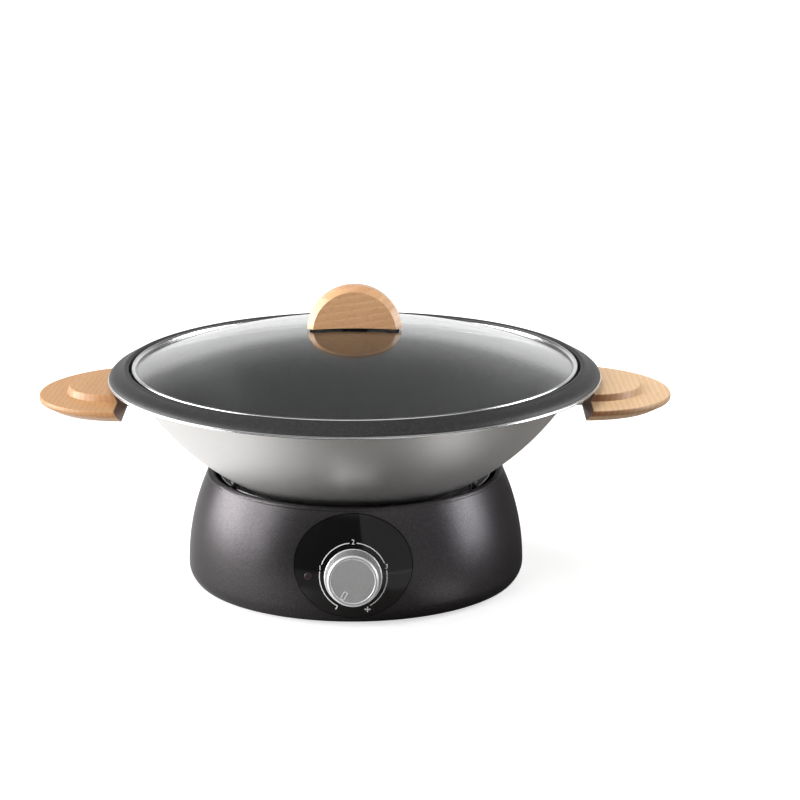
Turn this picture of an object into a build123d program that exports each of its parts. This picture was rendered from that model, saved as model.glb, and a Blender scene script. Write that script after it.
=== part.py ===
from build123d import *
import os
from math import asin, cos, degrees, hypot, radians, sin, sqrt, tan

# Electric wok: a base with a heating ring, a lift-out pan with two wooden side handles, and a
# glass lid with a wooden knob.  Millimetres, +Z up, origin on the table under the middle of the
# base, control panel facing -Y, handles along X.

# ---------------------------------------------------------------- driving dimensions
# base housing, a spun shape: foot, widest belly, rounded lip
ground_gap = 2.5            # lower edge of the housing above the table
shell_foot_r = 118.0
shell_belly_r = 121.8
shell_belly_z = 12.0
shell_lip_r = 107.6
base_height = 81.2
lip_width = 5.8
shell_wall = 3.5

# reflector dish inside the housing
dish_rim_gap = 4.3          # between the dish rim and the lip of the housing
dish_rim_drop = 2.2         # rim below the top of the housing
dish_floor_r = 64.0
dish_floor_z = 48.0
dish_sheet = 0.8
dish_bead_r = 1.0

# pan: spherical wall, flat floor, pressed rim with a seat for the lid
pan_sphere_r = 183.2
pan_lift = 3.3              # pan wall above the dish rim
pan_wall = 3.4
pan_floor_r = 64.7
pan_depth = 84.0            # underside of the floor to the lid seat
rim_sheet = 2.6
recess_depth = 7.7          # lid seat below the rim's crest
recess_flare = 1.0
crest_width = 2.5
flange_width = 12.5
flange_drop = 7.5
flange_edge = 1.5

# lid
lid_gap = 2.0               # between the lid band and the recess wall
band_sheet = 0.8
band_height = 7.1
band_lip = 2.6
glass_thickness = 4.0
glass_rise = 28.4
glass_inset = 0.3           # glass edge to the band

# wooden lid knob, a segment of a disc standing on edge
lid_knob_r = 34.0
lid_knob_cut = 3.5          # flat of the segment above the disc's centre
lid_knob_width = 15.0
lid_knob_chamfer = 4.3
knob_stand_off = 1.3
spacer_length = 64.0
spacer_width = 9.0
lid_screw_r = 2.5
lid_screw_length = 20.0

# wooden side handles
handle_set_in = 7.0         # centre of the handle's ellipse inside the recess wall
handle_long = 73.0
handle_wide = 69.0
handle_thickness = 9.0
handle_below_seat = 10.36   # top face at the ellipse centre, below the lid seat
handle_droop = 1.9          # degrees
handle_chord = 12.4         # inner face from the ellipse centre
handle_face_lean = 26.0     # degrees
step_centre = 9.0
step_long = 43.5
step_wide = 41.0
step_height = 4.8
step_slope = 2.0
handle_round = 1.0
handle_waist = 3.8          # below the top face, where the slab is widest
handle_waist_round = 2.6
handle_top_slope = 0.9
handle_under_slope = 9.0

# pan brackets
bracket_sheet = 2.0
bracket_width = 34.0
tongue_reach = 38.0         # along the handle from the ellipse centre
stud_r = 2.0
stud_length = 8.0
stud_spacing = 22.0
stud_below_seat = 10.0
nut_flats = 7.0
nut_height = 3.2
wood_screw_spacing = 18.0
wood_screw_length = 8.5
wood_screw_reach = 27.0

# control panel, dial knob and lamp
panel_half_x = 40.7
panel_half_z = 35.4
panel_z = 42.0
panel_proud = 0.3
panel_sheet = 1.9
panel_gap = 0.5             # seam round the panel
dial_z = 35.6
dial_r_back = 20.0
dial_r_front = 17.7
dial_length = 16.0
dial_wall = 2.0
dial_stand_off = 0.9
dial_pointer_r = 11.8
dial_pointer_angle = -149.0
dial_pointer_length = 5.0
dial_pointer_width = 2.0
lamp_offset = 31.0
lamp_r = 2.7
lens_flange = 0.8
lens_depth = 4.2

# thermostat behind the panel
shaft_r = 3.0
bush_r = 4.9
thermostat_depth = 7.0      # bracket behind the panel's face
thermostat_sheet = 1.5
thermostat_width = 32.0
thermostat_tall = 26.0
thermostat_thick = 15.0
thermostat_screws_apart = 38.0

# heating ring
element_r = 52.0
element_tube_r = 3.5
element_gap = 0.3           # under the pan floor
element_half_opening = 22.0  # degrees each side of the back
element_leg_foot = 30.0
element_bend = 9.0
bush_outer_r = 6.5

# dish pillars and pan pads
pillar_ring_r = 42.0
pillar_r = 4.5
pad_r = 3.2
pad_gap = 0.3

# sprung sensor in the middle
sensor_cap_r = 9.0
sensor_gap = 0.3
sensor_travel = 3.0
sensor_housing_r = 11.0
sensor_clearance = 0.25
sensor_housing_depth = 19.0
spring_wire_r = 0.6
spring_turns = 7

# bottom plate, screws and feet
plate_sheet = 1.2
plate_gap = 0.6
foot_r = 8.0
foot_ring_r = 98.0
foot_stem_r = 3.0
boss_ring_r = 107.0
boss_r = 4.5
boss_height = 16.0
vent_length = 18.0
vent_width = 3.0
vent_ring_r = 74.0
vent_count = 16

# appliance inlet at the back
inlet_z = 26.0
inlet_width = 31.0
inlet_tall = 24.0
inlet_depth = 24.0
inlet_inset = 1.5           # inlet's face behind the housing's skin
inlet_flange = 2.0
inlet_flange_set = 6.0      # flange behind the inlet's face
socket_width = 24.6
socket_tall = 16.8
socket_depth = 16.0
pin_reach = 9.0
pin_spread = 7.0
pin_step = 2.0
pin_half = (0.95, 1.95)     # half width, half height
inlet_screws_apart = 41.0

# wiring inside the base
wire_r = 1.3
thin_wire_r = 0.9
lane_r = 78.0               # lane of the leads round the base
lane_z = 11.0
tab_length = 7.0
tab_x = 8.0
tab_half = (0.4, 3.1)
terminal_length = 11.0
terminal_place = (52.0, 8.0)
terminal_size = (11.0, 6.0, 13.0)   # half length, half width, height
splice_place = (-46.0, 34.0)
splice_size = (6.0, 5.0, 10.0)      # half length, half width, height
lamp_length = 25.5          # panel face to the end of the lamp's leads
lamp_lead = 1.2

# screws
small_screw_r = 1.5
small_head_r = 2.7
small_head = 1.6
pilot_depth = 3.0            # screw holes in the housing's lugs
wood_screw_r = 1.8
wood_head_r = 3.5
wood_head = 1.8

clearance = 0.05            # between pieces of one body
fit = 0.1                   # around plain holes

# ---------------------------------------------------------------- places that follow from them


def arc_radius(across, along):
    """Radius of an arc that leaves the vertical and ends across and along from its start."""
    return (across ** 2 + along ** 2) / (2 * across)


lip_r = lip_width / 2
lip_z = base_height - lip_r
plate_top = ground_gap + plate_sheet
wall_arc_r = arc_radius(shell_belly_r - shell_lip_r, lip_z - shell_belly_z)
foot_arc_r = arc_radius(shell_belly_r - shell_foot_r, shell_belly_z - ground_gap)
wall_arc_x = shell_belly_r - wall_arc_r
foot_arc_x = shell_belly_r - foot_arc_r
foot_angle = asin((shell_belly_z - ground_gap) / foot_arc_r)
lip_angle = asin((lip_z - shell_belly_z) / wall_arc_r)

dish_rim_r = shell_lip_r - lip_width - dish_rim_gap
dish_rim_z = base_height - dish_rim_drop
pan_centre_z = dish_rim_z + pan_lift + sqrt(pan_sphere_r ** 2 - dish_rim_r ** 2)
pan_floor_z = pan_centre_z - sqrt(pan_sphere_r ** 2 - pan_floor_r ** 2)
seat_z = pan_floor_z + pan_depth
recess_r = sqrt(pan_sphere_r ** 2 - (pan_centre_z - seat_z) ** 2) + recess_flare
crest_r = recess_r + crest_width
crest_z = seat_z + recess_depth
flange_r = crest_r + flange_width
flange_z = crest_z - flange_drop

lid_r = recess_r - lid_gap
glass_r = lid_r - band_sheet - glass_inset
glass_edge_z = seat_z + band_height - band_sheet - 1.0
glass_top_z = glass_edge_z + glass_rise
glass_sphere_r = (glass_r ** 2 + glass_rise ** 2) / (2 * glass_rise)
glass_centre_z = glass_top_z - glass_sphere_r

element_z = pan_floor_z - element_gap - element_tube_r
handle_z = seat_z - handle_below_seat
handle_centre_x = recess_r - handle_set_in
thermostat_back = thermostat_depth + thermostat_sheet + thermostat_thick
dial_lift = degrees(asin((dial_z - shell_belly_z) / (wall_arc_r + panel_proud)))


def wall_radius(z, inset=0.0):
    """Outer radius of the housing at a height above the belly, less an inset."""
    return wall_arc_x + sqrt((wall_arc_r - inset) ** 2 - (z - shell_belly_z) ** 2)


inlet_face_y = wall_radius(inlet_z) - inlet_inset
inlet_seat_y = inlet_face_y - inlet_flange_set
inlet_back_y = inlet_face_y - inlet_depth

# plane of the dial: origin on the panel's face, z outward along the knob's axis, y upward
dial_face_r = wall_arc_x + (wall_arc_r + panel_proud) * cos(radians(dial_lift))
dial_plane = Plane(
    origin=(0, -dial_face_r, dial_z),
    x_dir=(1, 0, 0),
    z_dir=(0, -cos(radians(dial_lift)), sin(radians(dial_lift))),
)
# frame of the right-hand handle: x outward and drooping, z out of its top face
handle_place = Pos(handle_centre_x, 0, handle_z) * Rot(0, handle_droop, 0)

# ---------------------------------------------------------------- shape helpers


def spin(*edges):
    """Solid of revolution about Z from edges drawn in the XZ plane."""
    return revolve(make_face(list(edges)), axis=Axis.Z)


def spin_polygon(*points):
    """Solid of revolution from (radius, height) corners."""
    return revolve(make_face(Polyline(*[(r, 0, z) for r, z in points], close=True)), axis=Axis.Z)


def cylinder(radius, low, high):
    return Pos(0, 0, low) * Cylinder(radius, high - low, align=(Align.CENTER, Align.CENTER, Align.MIN))


def pipe(outer, inner, low, high):
    return cylinder(outer, low, high) - cylinder(inner, low - 1, high + 1)


def block(low, high):
    """Box between two corners."""
    size = [b - a for a, b in zip(low, high)]
    return Pos(*low) * Box(*size, align=(Align.MIN, Align.MIN, Align.MIN))


def around(radius, angles):
    """Places on a ring, each turned so that its x axis points outward."""
    return [Rot(0, 0, angle) * Pos(radius, 0, 0) for angle in angles]


def group(solids):
    return Compound(children=list(solids))


def offset_sheet(points, thickness):
    """Closed outline of a sheet whose upper side follows the points, given inside to outside."""
    lower = []
    for index, (r, z) in enumerate(points):
        normals = []
        for start, end in ((index - 1, index), (index, index + 1)):
            if start >= 0 and end < len(points):
                dr = points[end][0] - points[start][0]
                dz = points[end][1] - points[start][1]
                normals.append((dz / hypot(dr, dz), -dr / hypot(dr, dz)))
        nr = sum(n[0] for n in normals) / len(normals)
        nz = sum(n[1] for n in normals) / len(normals)
        scale = thickness / (nr ** 2 + nz ** 2)
        lower.append((r + nr * scale, z + nz * scale))
    return points + lower[::-1]


def foot_point(offset, share):
    """Point of the housing's foot arc, offset outward, a share of the way down from the belly."""
    radius = foot_arc_r + offset
    angle = foot_angle * share
    return (foot_arc_x + radius * cos(angle), 0, shell_belly_z - radius * sin(angle))


def wall_point(offset, share):
    """Point of the housing's wall arc, offset outward, a share of the way up from the belly."""
    radius = wall_arc_r + offset
    angle = lip_angle * share
    return (wall_arc_x + radius * cos(angle), 0, shell_belly_z + radius * sin(angle))


def skin_solid(offset):
    """Solid inside the housing's outer surface, offset outward."""
    low = foot_point(offset, 1)
    high = wall_point(offset, 1)
    return spin(
        Line((0, 0, low[2]), low),
        ThreePointArc(low, foot_point(offset, 0.5), foot_point(offset, 0)),
        ThreePointArc(wall_point(offset, 0), wall_point(offset, 0.5), high),
        Line(high, (0, 0, high[2])),
        Line((0, 0, high[2]), (0, 0, low[2])),
    )


def screw(shank_r, length, head_r, head_height):
    """Pan-head screw along +Z, head below z = 0, with a cross recess."""
    body = cylinder(shank_r, 0, length) + cylinder(head_r, -head_height, 0)
    reach = 0.6 * head_r
    half = 0.12 * head_r
    for turn in (0, 90):
        slot = block((-reach, -half, -head_height), (reach, half, -head_height / 2))
        body -= Rot(0, 0, turn) * slot
    return body


def corner_radii(points):
    """Largest gentle radius at each corner of a route."""
    radii = []
    for before, corner, after in zip(points, points[1:], points[2:]):
        run_in = Vector(*corner) - Vector(*before)
        run_out = Vector(*after) - Vector(*corner)
        half_turn = radians(run_in.get_angle(run_out)) / 2
        radii.append(0.45 * min(run_in.length, run_out.length) / tan(half_turn))
    return radii


def wire(points, radius):
    """Round lead along straight runs joined by tangent arcs."""
    path = FilletPolyline(*points, radius=corner_radii(points))
    section = Plane(origin=path @ 0, z_dir=path % 0) * Circle(radius)
    return sweep(section, path=path)


# ---------------------------------------------------------------- base housing


def panel_prism(margin):
    """Oval column through the front wall of the housing."""
    plane = Plane(origin=(0, 0, panel_z), x_dir=(1, 0, 0), z_dir=(0, -1, 0))
    return extrude(plane * Ellipse(panel_half_x + margin, panel_half_z + margin), amount=2 * shell_belly_r)


def dial_hole(radius, offset=0.0):
    """Round cutter along the dial's direction."""
    return dial_plane * Pos(offset, 0, 0) * cylinder(radius, -4 * shell_wall, 4 * shell_wall)


screw_boss_angles = (30, 150, 210, 330)
foot_angles = (45, 135, 225, 315)
pillar_angles = (30, 150, 270)
pad_angles = (90, 210, 330)


def beside_dial(side):
    """Place of a thermostat screw in the dial's frame."""
    return Pos(side * thermostat_screws_apart / 2, 0, 0)


def beside_inlet(side):
    """Place of an inlet screw, z pointing out through the wall."""
    return Pos(side * inlet_screws_apart / 2, inlet_seat_y, inlet_z) * Rot(-90, 0, 0)


def shell_wall_solid():
    """Spun wall of the housing with its rounded lip."""
    under_lip_z = lip_z - lip_r
    step_z = under_lip_z - lip_r
    lip_inner_r = shell_lip_r - lip_width
    inner_foot = foot_point(-shell_wall, 1)
    inner_edge = (inner_foot[0] - clearance, 0, ground_gap)
    inner_top = (wall_radius(step_z, shell_wall), 0, step_z)
    return spin(
        ThreePointArc(foot_point(0, 1), foot_point(0, 0.5), foot_point(0, 0)),
        ThreePointArc(wall_point(0, 0), wall_point(0, 0.5), wall_point(0, 1)),
        ThreePointArc(wall_point(0, 1), (shell_lip_r - lip_r, 0, base_height), (lip_inner_r, 0, lip_z)),
        Line((lip_inner_r, 0, lip_z), (lip_inner_r, 0, under_lip_z)),
        Line((lip_inner_r, 0, under_lip_z), inner_top),
        ThreePointArc(inner_top, wall_point(-shell_wall, 0.5), wall_point(-shell_wall, 0)),
        ThreePointArc(foot_point(-shell_wall, 0), foot_point(-shell_wall, 0.5), inner_foot),
        Line(inner_foot, inner_edge),
        Line(inner_edge, foot_point(0, 1)),
    )


def base_shell():
    shell = shell_wall_solid()
    inside = skin_solid(-shell_wall / 2)
    boss_top = plate_top + boss_height
    pilot_r = small_screw_r + clearance
    # posts that take the bottom screws, each with a rib to the wall
    for place in around(boss_ring_r, screw_boss_angles):
        post = cylinder(boss_r, plate_top, boss_top)
        rib = block((0, -shell_wall / 2, plate_top), (shell_belly_r - boss_ring_r, shell_wall / 2, boss_top))
        shell += (place * (post + rib)) & inside
    for place in around(boss_ring_r, screw_boss_angles):
        shell -= place * cylinder(pilot_r, plate_top - 1, boss_top - 2)
    # posts for the thermostat and lugs for the inlet
    for side in (-1, 1):
        shell += (dial_plane * beside_dial(side) * cylinder(shell_wall, -thermostat_depth, 0)) & inside
        shell += (beside_inlet(side) * cylinder(shell_wall, 0, 2 * shell_wall)) & inside
    # pocket and holes for the panel, then the inlet window
    pocket = skin_solid(shell_wall) - skin_solid(panel_proud - panel_sheet)
    shell -= pocket & panel_prism(panel_gap)
    shell -= dial_hole(bush_r + fit)
    shell -= dial_hole(lamp_r + lens_flange + 0.2, -lamp_offset)
    for side in (-1, 1):
        pilot = cylinder(pilot_r, -1, pilot_depth)
        shell -= dial_plane * beside_dial(side) * Pos(0, 0, -thermostat_depth) * pilot
        shell -= beside_inlet(side) * pilot
    half_w = inlet_width / 2 + fit
    half_t = inlet_tall / 2 + fit
    shell -= block((-half_w, inlet_back_y, inlet_z - half_t), (half_w, 2 * shell_belly_r, inlet_z + half_t))
    return shell


def control_panel():
    plate = (skin_solid(panel_proud) - skin_solid(panel_proud - panel_sheet)) & panel_prism(0)
    plate -= dial_hole(bush_r + fit)
    plate -= dial_hole(lamp_r + clearance, -lamp_offset)
    return plate


def lamp_depth():
    """Panel face at the lamp, behind the dial's plane."""
    return dial_face_r - sqrt(dial_face_r ** 2 - lamp_offset ** 2)


def indicator_lens():
    face = -lamp_depth()
    lens = cylinder(lamp_r, face - lens_depth, face + 0.6)
    lens += cylinder(lamp_r + lens_flange, face - lens_depth, face - panel_sheet - 1.4)
    lens = fillet(lens.edges().sort_by(Axis.Z)[-1], 0.5)
    return dial_plane * Pos(-lamp_offset, 0, 0) * lens


def indicator_lamp():
    top = -lamp_depth() - lens_depth - clearance
    end = -lamp_depth() - lamp_length
    body = cylinder(lamp_r + lens_flange, end + 4, top)
    leads = [Pos(x, 0, 0) * cylinder(0.4, end, end + 4) for x in (-lamp_lead, lamp_lead)]
    return dial_plane * Pos(-lamp_offset, 0, 0) * (body + leads[0] + leads[1])


# ---------------------------------------------------------------- dial knob and thermostat


def flatted_shaft(radius, low, high, flat_from):
    """Round shaft with one flat from flat_from upward."""
    flat = block((-radius, radius * 0.55, flat_from), (radius, radius * 2, high + 1))
    return cylinder(radius, low, high) - flat


shaft_top = dial_stand_off + dial_length - dial_wall - 1.5
hub_low = dial_stand_off + 0.6


def control_knob():
    low = dial_stand_off
    high = dial_stand_off + dial_length
    bevel = 1.1
    knob = spin_polygon(
        (0, high - 0.5),
        (dial_r_front - bevel - 1.6, high - 0.5),
        (dial_r_front - bevel - 1.1, high),
        (dial_r_front - bevel, high),
        (dial_r_front, high - bevel),
        (dial_r_back - 0.4, low + 1.6),
        (dial_r_back, low + 1.2),
        (dial_r_back, low),
        (dial_r_back - dial_wall, low),
        (dial_r_front - dial_wall - 0.5, high - dial_wall - 0.5),
        (0, high - dial_wall - 0.5),
    )
    knob += cylinder(shaft_r + dial_wall + 0.5, hub_low, high - dial_wall)
    knob -= flatted_shaft(shaft_r + clearance / 2, hub_low - 1, shaft_top + 0.2, hub_low - 1)
    turn = Rot(0, 0, -dial_pointer_angle)
    half = dial_pointer_width / 2
    slot = block((-half, -dial_pointer_length / 2, high - 1.1), (half, dial_pointer_length / 2, high + 1))
    knob -= turn * Pos(0, dial_pointer_r, 0) * slot
    return dial_plane * knob


def thermostat_shaft():
    deep = -thermostat_depth - thermostat_sheet - thermostat_thick / 2
    return dial_plane * flatted_shaft(shaft_r, deep, shaft_top, hub_low - 0.5)


def thermostat_bracket():
    half_x = thermostat_screws_apart / 2 + 4
    half_y = thermostat_tall / 2
    top = -thermostat_depth
    plate = block((-half_x, -half_y, top - thermostat_sheet), (half_x, half_y, top))
    plate = fillet(plate.edges().filter_by(Axis.Z), 3)
    plate += cylinder(bush_r, top, 0)
    plate -= cylinder(shaft_r + clearance, top - 5, 1)
    for side in (-1, 1):
        plate -= beside_dial(side) * cylinder(small_screw_r + fit, top - 5, top + 1)
    return dial_plane * plate


def thermostat_body():
    top = -thermostat_depth - thermostat_sheet
    low = top - thermostat_thick
    half_x = thermostat_width / 2 - small_screw_r * 2
    half_y = thermostat_tall / 2 - 1
    body = block((-half_x, -half_y, low), (half_x, half_y, top))
    body = fillet(body.edges().filter_by(Axis.Z), 2)
    body -= cylinder(shaft_r + clearance, top - thermostat_thick / 2 - clearance, top + 1)
    return dial_plane * body


def thermostat_tabs():
    tab = block((-tab_half[0], -tab_half[1], -thermostat_back - tab_length), (*tab_half, -thermostat_back))
    return group(dial_plane * Pos(x, 0, 0) * tab for x in (-tab_x, tab_x))


def thermostat_screws():
    low = -thermostat_depth - thermostat_sheet
    length = thermostat_sheet + pilot_depth - 0.5
    screws = []
    for side in (-1, 1):
        place = dial_plane * beside_dial(side) * Pos(0, 0, low)
        screws.append(place * screw(small_screw_r, length, small_head_r, small_head))
    return group(screws)


# ---------------------------------------------------------------- dish, heating ring, sensor


def dish_profile():
    return [
        (sensor_housing_r + fit, dish_floor_z),
        (dish_floor_r, dish_floor_z),
        (dish_rim_r - dish_bead_r, dish_rim_z - dish_bead_r),
    ]


def dish_solid():
    sheet = spin_polygon(*offset_sheet(dish_profile(), dish_sheet))
    return sheet + Pos(0, 0, dish_rim_z - dish_bead_r) * Torus(dish_rim_r, dish_bead_r)


fuse_y = 30.0
fuse_r = 2.2
fuse_length = 14.0
clip_angles = (210, 270, 330)


def reflector_dish():
    dish = dish_solid()
    for x, y in leg_places():
        dish -= Pos(x, y, 0) * cylinder(bush_outer_r - 1, 0, dish_floor_z + 5)
    for place in around(pillar_ring_r, pillar_angles):
        dish -= place * cylinder(small_screw_r + fit, dish_floor_z - 5, dish_floor_z + 5)
    return dish


def support_pads():
    pads = []
    dish = dish_solid()
    clear_of_pan = Pos(0, 0, pan_centre_z) * Sphere(pan_sphere_r + pad_gap)
    for place in around(dish_rim_r, pad_angles):
        pad = place * cylinder(pad_r, dish_rim_z - 5, dish_rim_z + 2 * pan_lift)
        pads.append(pad - dish - clear_of_pan)
    return group(pads)


def element_path():
    """Centre line of the heating tube: leg, bend, ring, bend, leg."""
    start = 90 + element_half_opening
    sweep_angle = 360 - 2 * element_half_opening
    ring = CenterArc((0, 0, element_z), element_r, start, sweep_angle)
    pieces = [ring]
    for end, side in ((0, 1), (1, -1)):
        tip = ring @ end
        direction = ring % end if end else -(ring % end)
        centre = tip - Vector(0, 0, element_bend)
        half = centre + (Vector(0, 0, 1) * cos(radians(45)) + direction * sin(radians(45))) * element_bend
        foot = centre + direction * element_bend
        pieces.append(ThreePointArc(tip, half, foot))
        pieces.append(Line(foot, Vector(foot.X, foot.Y, element_leg_foot)))
    return Wire([edge for piece in pieces for edge in piece.edges()]), [pieces[2] @ 1, pieces[4] @ 1]


def leg_places():
    """Where the two legs come down, in plan."""
    _, feet = element_path()
    return [(foot.X, foot.Y) for foot in feet]


def heating_element():
    path, _ = element_path()
    section = Plane(origin=path @ 0, z_dir=path % 0) * Circle(element_tube_r)
    return sweep(section, path=path)


def clip_solid(place):
    """Folded strap that carries the ring on the dish floor."""
    height = element_z - dish_floor_z
    strap = block((-6, -3, dish_floor_z), (6, 3, dish_floor_z + height))
    strap -= block((-4.8, -4, dish_floor_z + 1), (4.8, 4, dish_floor_z + height - element_tube_r - 1.2))
    return place * strap


def element_clips():
    ring = Pos(0, 0, element_z) * Torus(element_r, element_tube_r + clearance)
    return group(clip_solid(place) - ring for place in around(element_r, clip_angles))


def sensor_housing():
    low = dish_floor_z - sensor_housing_depth
    inner = sensor_cap_r + sensor_clearance
    cup = pipe(sensor_housing_r, inner, low, dish_floor_z + 1.2)
    cup += pipe(sensor_housing_r, 1.5, low, low + 1.5)
    cup += pipe(sensor_housing_r + 5, sensor_housing_r - 0.5, dish_floor_z, dish_floor_z + 1.2)
    return cup


def sensor_cap():
    top = pan_floor_z - sensor_gap
    low = dish_floor_z - sensor_housing_depth + 1.5 + sensor_travel + 3
    cap = cylinder(sensor_cap_r, low, top)
    cap = fillet(cap.edges().sort_by(Axis.Z)[-1], 1.0)
    return cap - cylinder(sensor_cap_r - 1.2, low - 1, top - 1.5)


def sensor_spring():
    low = dish_floor_z - sensor_housing_depth + 1.5 + spring_wire_r
    high = pan_floor_z - sensor_gap - 1.5 - spring_wire_r
    radius = sensor_cap_r - 1.2 - spring_wire_r - 0.4
    height = high - low
    path = Helix(pitch=height / spring_turns, height=height, radius=radius, center=(0, 0, low))
    section = Plane(origin=path @ 0, z_dir=path % 0) * Circle(spring_wire_r)
    return sweep(section, path=path, is_frenet=True)


def dish_pillars():
    hole = small_screw_r + clearance
    top = dish_floor_z - dish_sheet
    pillar = pipe(pillar_r, hole, plate_top, top)
    return group(place * pillar for place in around(pillar_ring_r, pillar_angles))


def pillar_screws():
    shape = screw(small_screw_r, 8.0, small_head_r, small_head)
    screws = []
    for place in around(pillar_ring_r, pillar_angles):
        screws.append(place * Pos(0, 0, ground_gap) * shape)
        screws.append(place * Pos(0, 0, dish_floor_z) * Rot(180, 0, 0) * shape)
    return group(screws)


def element_bushes():
    bushes = []
    for x, y in leg_places():
        bush = pipe(bush_outer_r, element_tube_r + clearance, dish_floor_z, dish_floor_z + 3)
        bush += pipe(bush_outer_r - 1 - fit, element_tube_r + clearance, dish_floor_z - 5, dish_floor_z + 1)
        bushes.append(Pos(x, y, 0) * bush)
    return group(bushes)


def element_terminals():
    tabs = []
    for x, y in leg_places():
        pin = cylinder(1.2, element_leg_foot - 5, element_leg_foot)
        low = element_leg_foot - terminal_length
        tab = block((-tab_half[0], -tab_half[1], low), (*tab_half, element_leg_foot - 4))
        tabs.append(Pos(x, y, 0) * (pin + tab))
    return group(tabs)


def thermal_fuse():
    body = Rot(0, 90, 0) * cylinder(fuse_r, -fuse_length / 2, fuse_length / 2)
    return Pos(0, fuse_y, dish_floor_z - dish_sheet - fuse_r) * body


def fuse_clip():
    half = 2.5
    ear = fuse_r + 6
    inner = fuse_r + clearance
    outer = block((-half, -fuse_r - dish_sheet, -2 * fuse_r - dish_sheet), (half, fuse_r + dish_sheet, 0))
    ears = block((-half, -ear, -dish_sheet), (half, ear, 0))
    channel = block((-half - 1, -inner, -2 * fuse_r - clearance), (half + 1, inner, 1))
    return Pos(0, fuse_y, dish_floor_z - dish_sheet) * (outer + ears - channel)


# ---------------------------------------------------------------- bottom, feet, inlet


def bottom_plate():
    plate_r = foot_point(-shell_wall, 1)[0] - plate_gap
    plate = cylinder(plate_r, ground_gap, plate_top)
    for place in around(boss_ring_r, screw_boss_angles) + around(pillar_ring_r, pillar_angles):
        plate -= place * cylinder(small_screw_r + fit, 0, plate_top + 1)
    for place in around(foot_ring_r, foot_angles):
        plate -= place * cylinder(foot_stem_r + fit, 0, plate_top + 1)
    slots = []
    for place in around(vent_ring_r, [360 * i / vent_count for i in range(vent_count)]):
        low = (-vent_length / 2, -vent_width / 2, 0)
        high = (vent_length / 2, vent_width / 2, plate_top + 1)
        slots.append(place * fillet(block(low, high).edges().filter_by(Axis.Z), vent_width * 0.45))
    return plate - slots


def bottom_screws():
    shape = screw(small_screw_r, 12.0, small_head_r, small_head)
    return group(place * Pos(0, 0, ground_gap) * shape for place in around(boss_ring_r, screw_boss_angles))


def rubber_feet():
    foot = cylinder(foot_r, 0, ground_gap)
    foot = fillet(foot.edges().sort_by(Axis.Z)[0], 0.8)
    foot += cylinder(foot_stem_r, ground_gap, plate_top + 0.2)
    barb = Cone(foot_stem_r + 1, foot_stem_r - 0.8, 4, align=(Align.CENTER, Align.CENTER, Align.MIN))
    foot += Pos(0, 0, plate_top) * barb
    return group(place * foot for place in around(foot_ring_r, foot_angles))


def appliance_inlet():
    half_w = inlet_width / 2
    half_t = inlet_tall / 2
    body = block((-half_w, inlet_back_y, inlet_z - half_t), (half_w, inlet_face_y, inlet_z + half_t))
    body = fillet(body.edges().filter_by(Axis.Y), 2)
    flange_w = inlet_screws_apart / 2 + 4
    low = (-flange_w, inlet_seat_y - inlet_flange, inlet_z - half_t + 2)
    body += block(low, (flange_w, inlet_seat_y, inlet_z + half_t - 2))
    socket = block(
        (-socket_width / 2, inlet_face_y - socket_depth, inlet_z - socket_tall / 2),
        (socket_width / 2, inlet_face_y + 1, inlet_z + socket_tall / 2),
    )
    body -= fillet(socket.edges().filter_by(Axis.Y), 3)
    for x, z in pin_places():
        hole_x = pin_half[0] + clearance
        hole_z = pin_half[1] + clearance
        body -= block((x - hole_x, inlet_back_y - 1, z - hole_z), (x + hole_x, inlet_face_y, z + hole_z))
    for side in (-1, 1):
        body -= beside_inlet(side) * cylinder(small_screw_r + fit, -inlet_flange - 1, 1)
    return body


def pin_places():
    """Middle of each pin, in x and z."""
    return [(-pin_spread, inlet_z - pin_step), (0.0, inlet_z + pin_step), (pin_spread, inlet_z - pin_step)]


def inlet_pins():
    half_x, half_z = pin_half
    tip_y = inlet_face_y - socket_depth + pin_reach
    low_y = inlet_back_y - tab_length
    pin = block((-half_x, low_y, -half_z), (half_x, tip_y, half_z))
    return group(Pos(x, 0, z) * pin for x, z in pin_places())


def inlet_screws():
    length = inlet_flange + pilot_depth - 0.2
    shape = Pos(0, 0, -inlet_flange) * screw(small_screw_r, length, small_head_r, small_head)
    return group(beside_inlet(side) * shape for side in (-1, 1))


# ---------------------------------------------------------------- wiring


def terminal_block():
    """Earth terminal on the bottom plate."""
    half_x, half_y, height = terminal_size
    body = block((-half_x, -half_y, plate_top), (half_x, half_y, plate_top + height))
    body = fillet(body.edges().filter_by(Axis.Z), 1)
    for x in (-half_x / 2, 0, half_x / 2):
        body -= Pos(x, 0, 0) * cylinder(1.6, plate_top + height - 5, plate_top + height + 1)
    return Pos(*terminal_place, 0) * body


def splice_block():
    """Splice for the lamp lead on the bottom plate."""
    half_x, half_y, height = splice_size
    body = block((-half_x, -half_y, plate_top), (half_x, half_y, plate_top + height))
    return Pos(*splice_place, 0) * fillet(body.edges().filter_by(Axis.Z), 1)


def inlet_tab(index, out=0.0):
    """End of one inlet tab, or a point straight behind it."""
    x, z = pin_places()[index]
    return (x, inlet_back_y - tab_length - out, z)


def behind_dial(x, y, depth):
    """Point in the dial's frame, depth measured inward from the panel's face."""
    spot = dial_plane.from_local_coords((x, y, -depth))
    return (spot.X, spot.Y, spot.Z)


def lane(angle, inward=0.0, up=0.0):
    """Point near the lane in which the leads run round the base."""
    radius = lane_r - inward
    return (radius * cos(radians(angle)), radius * sin(radians(angle)), lane_z + up)


def element_tab(index, down=0.0):
    x, y = leg_places()[index]
    return (x, y, element_leg_foot - terminal_length - down)


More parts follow.
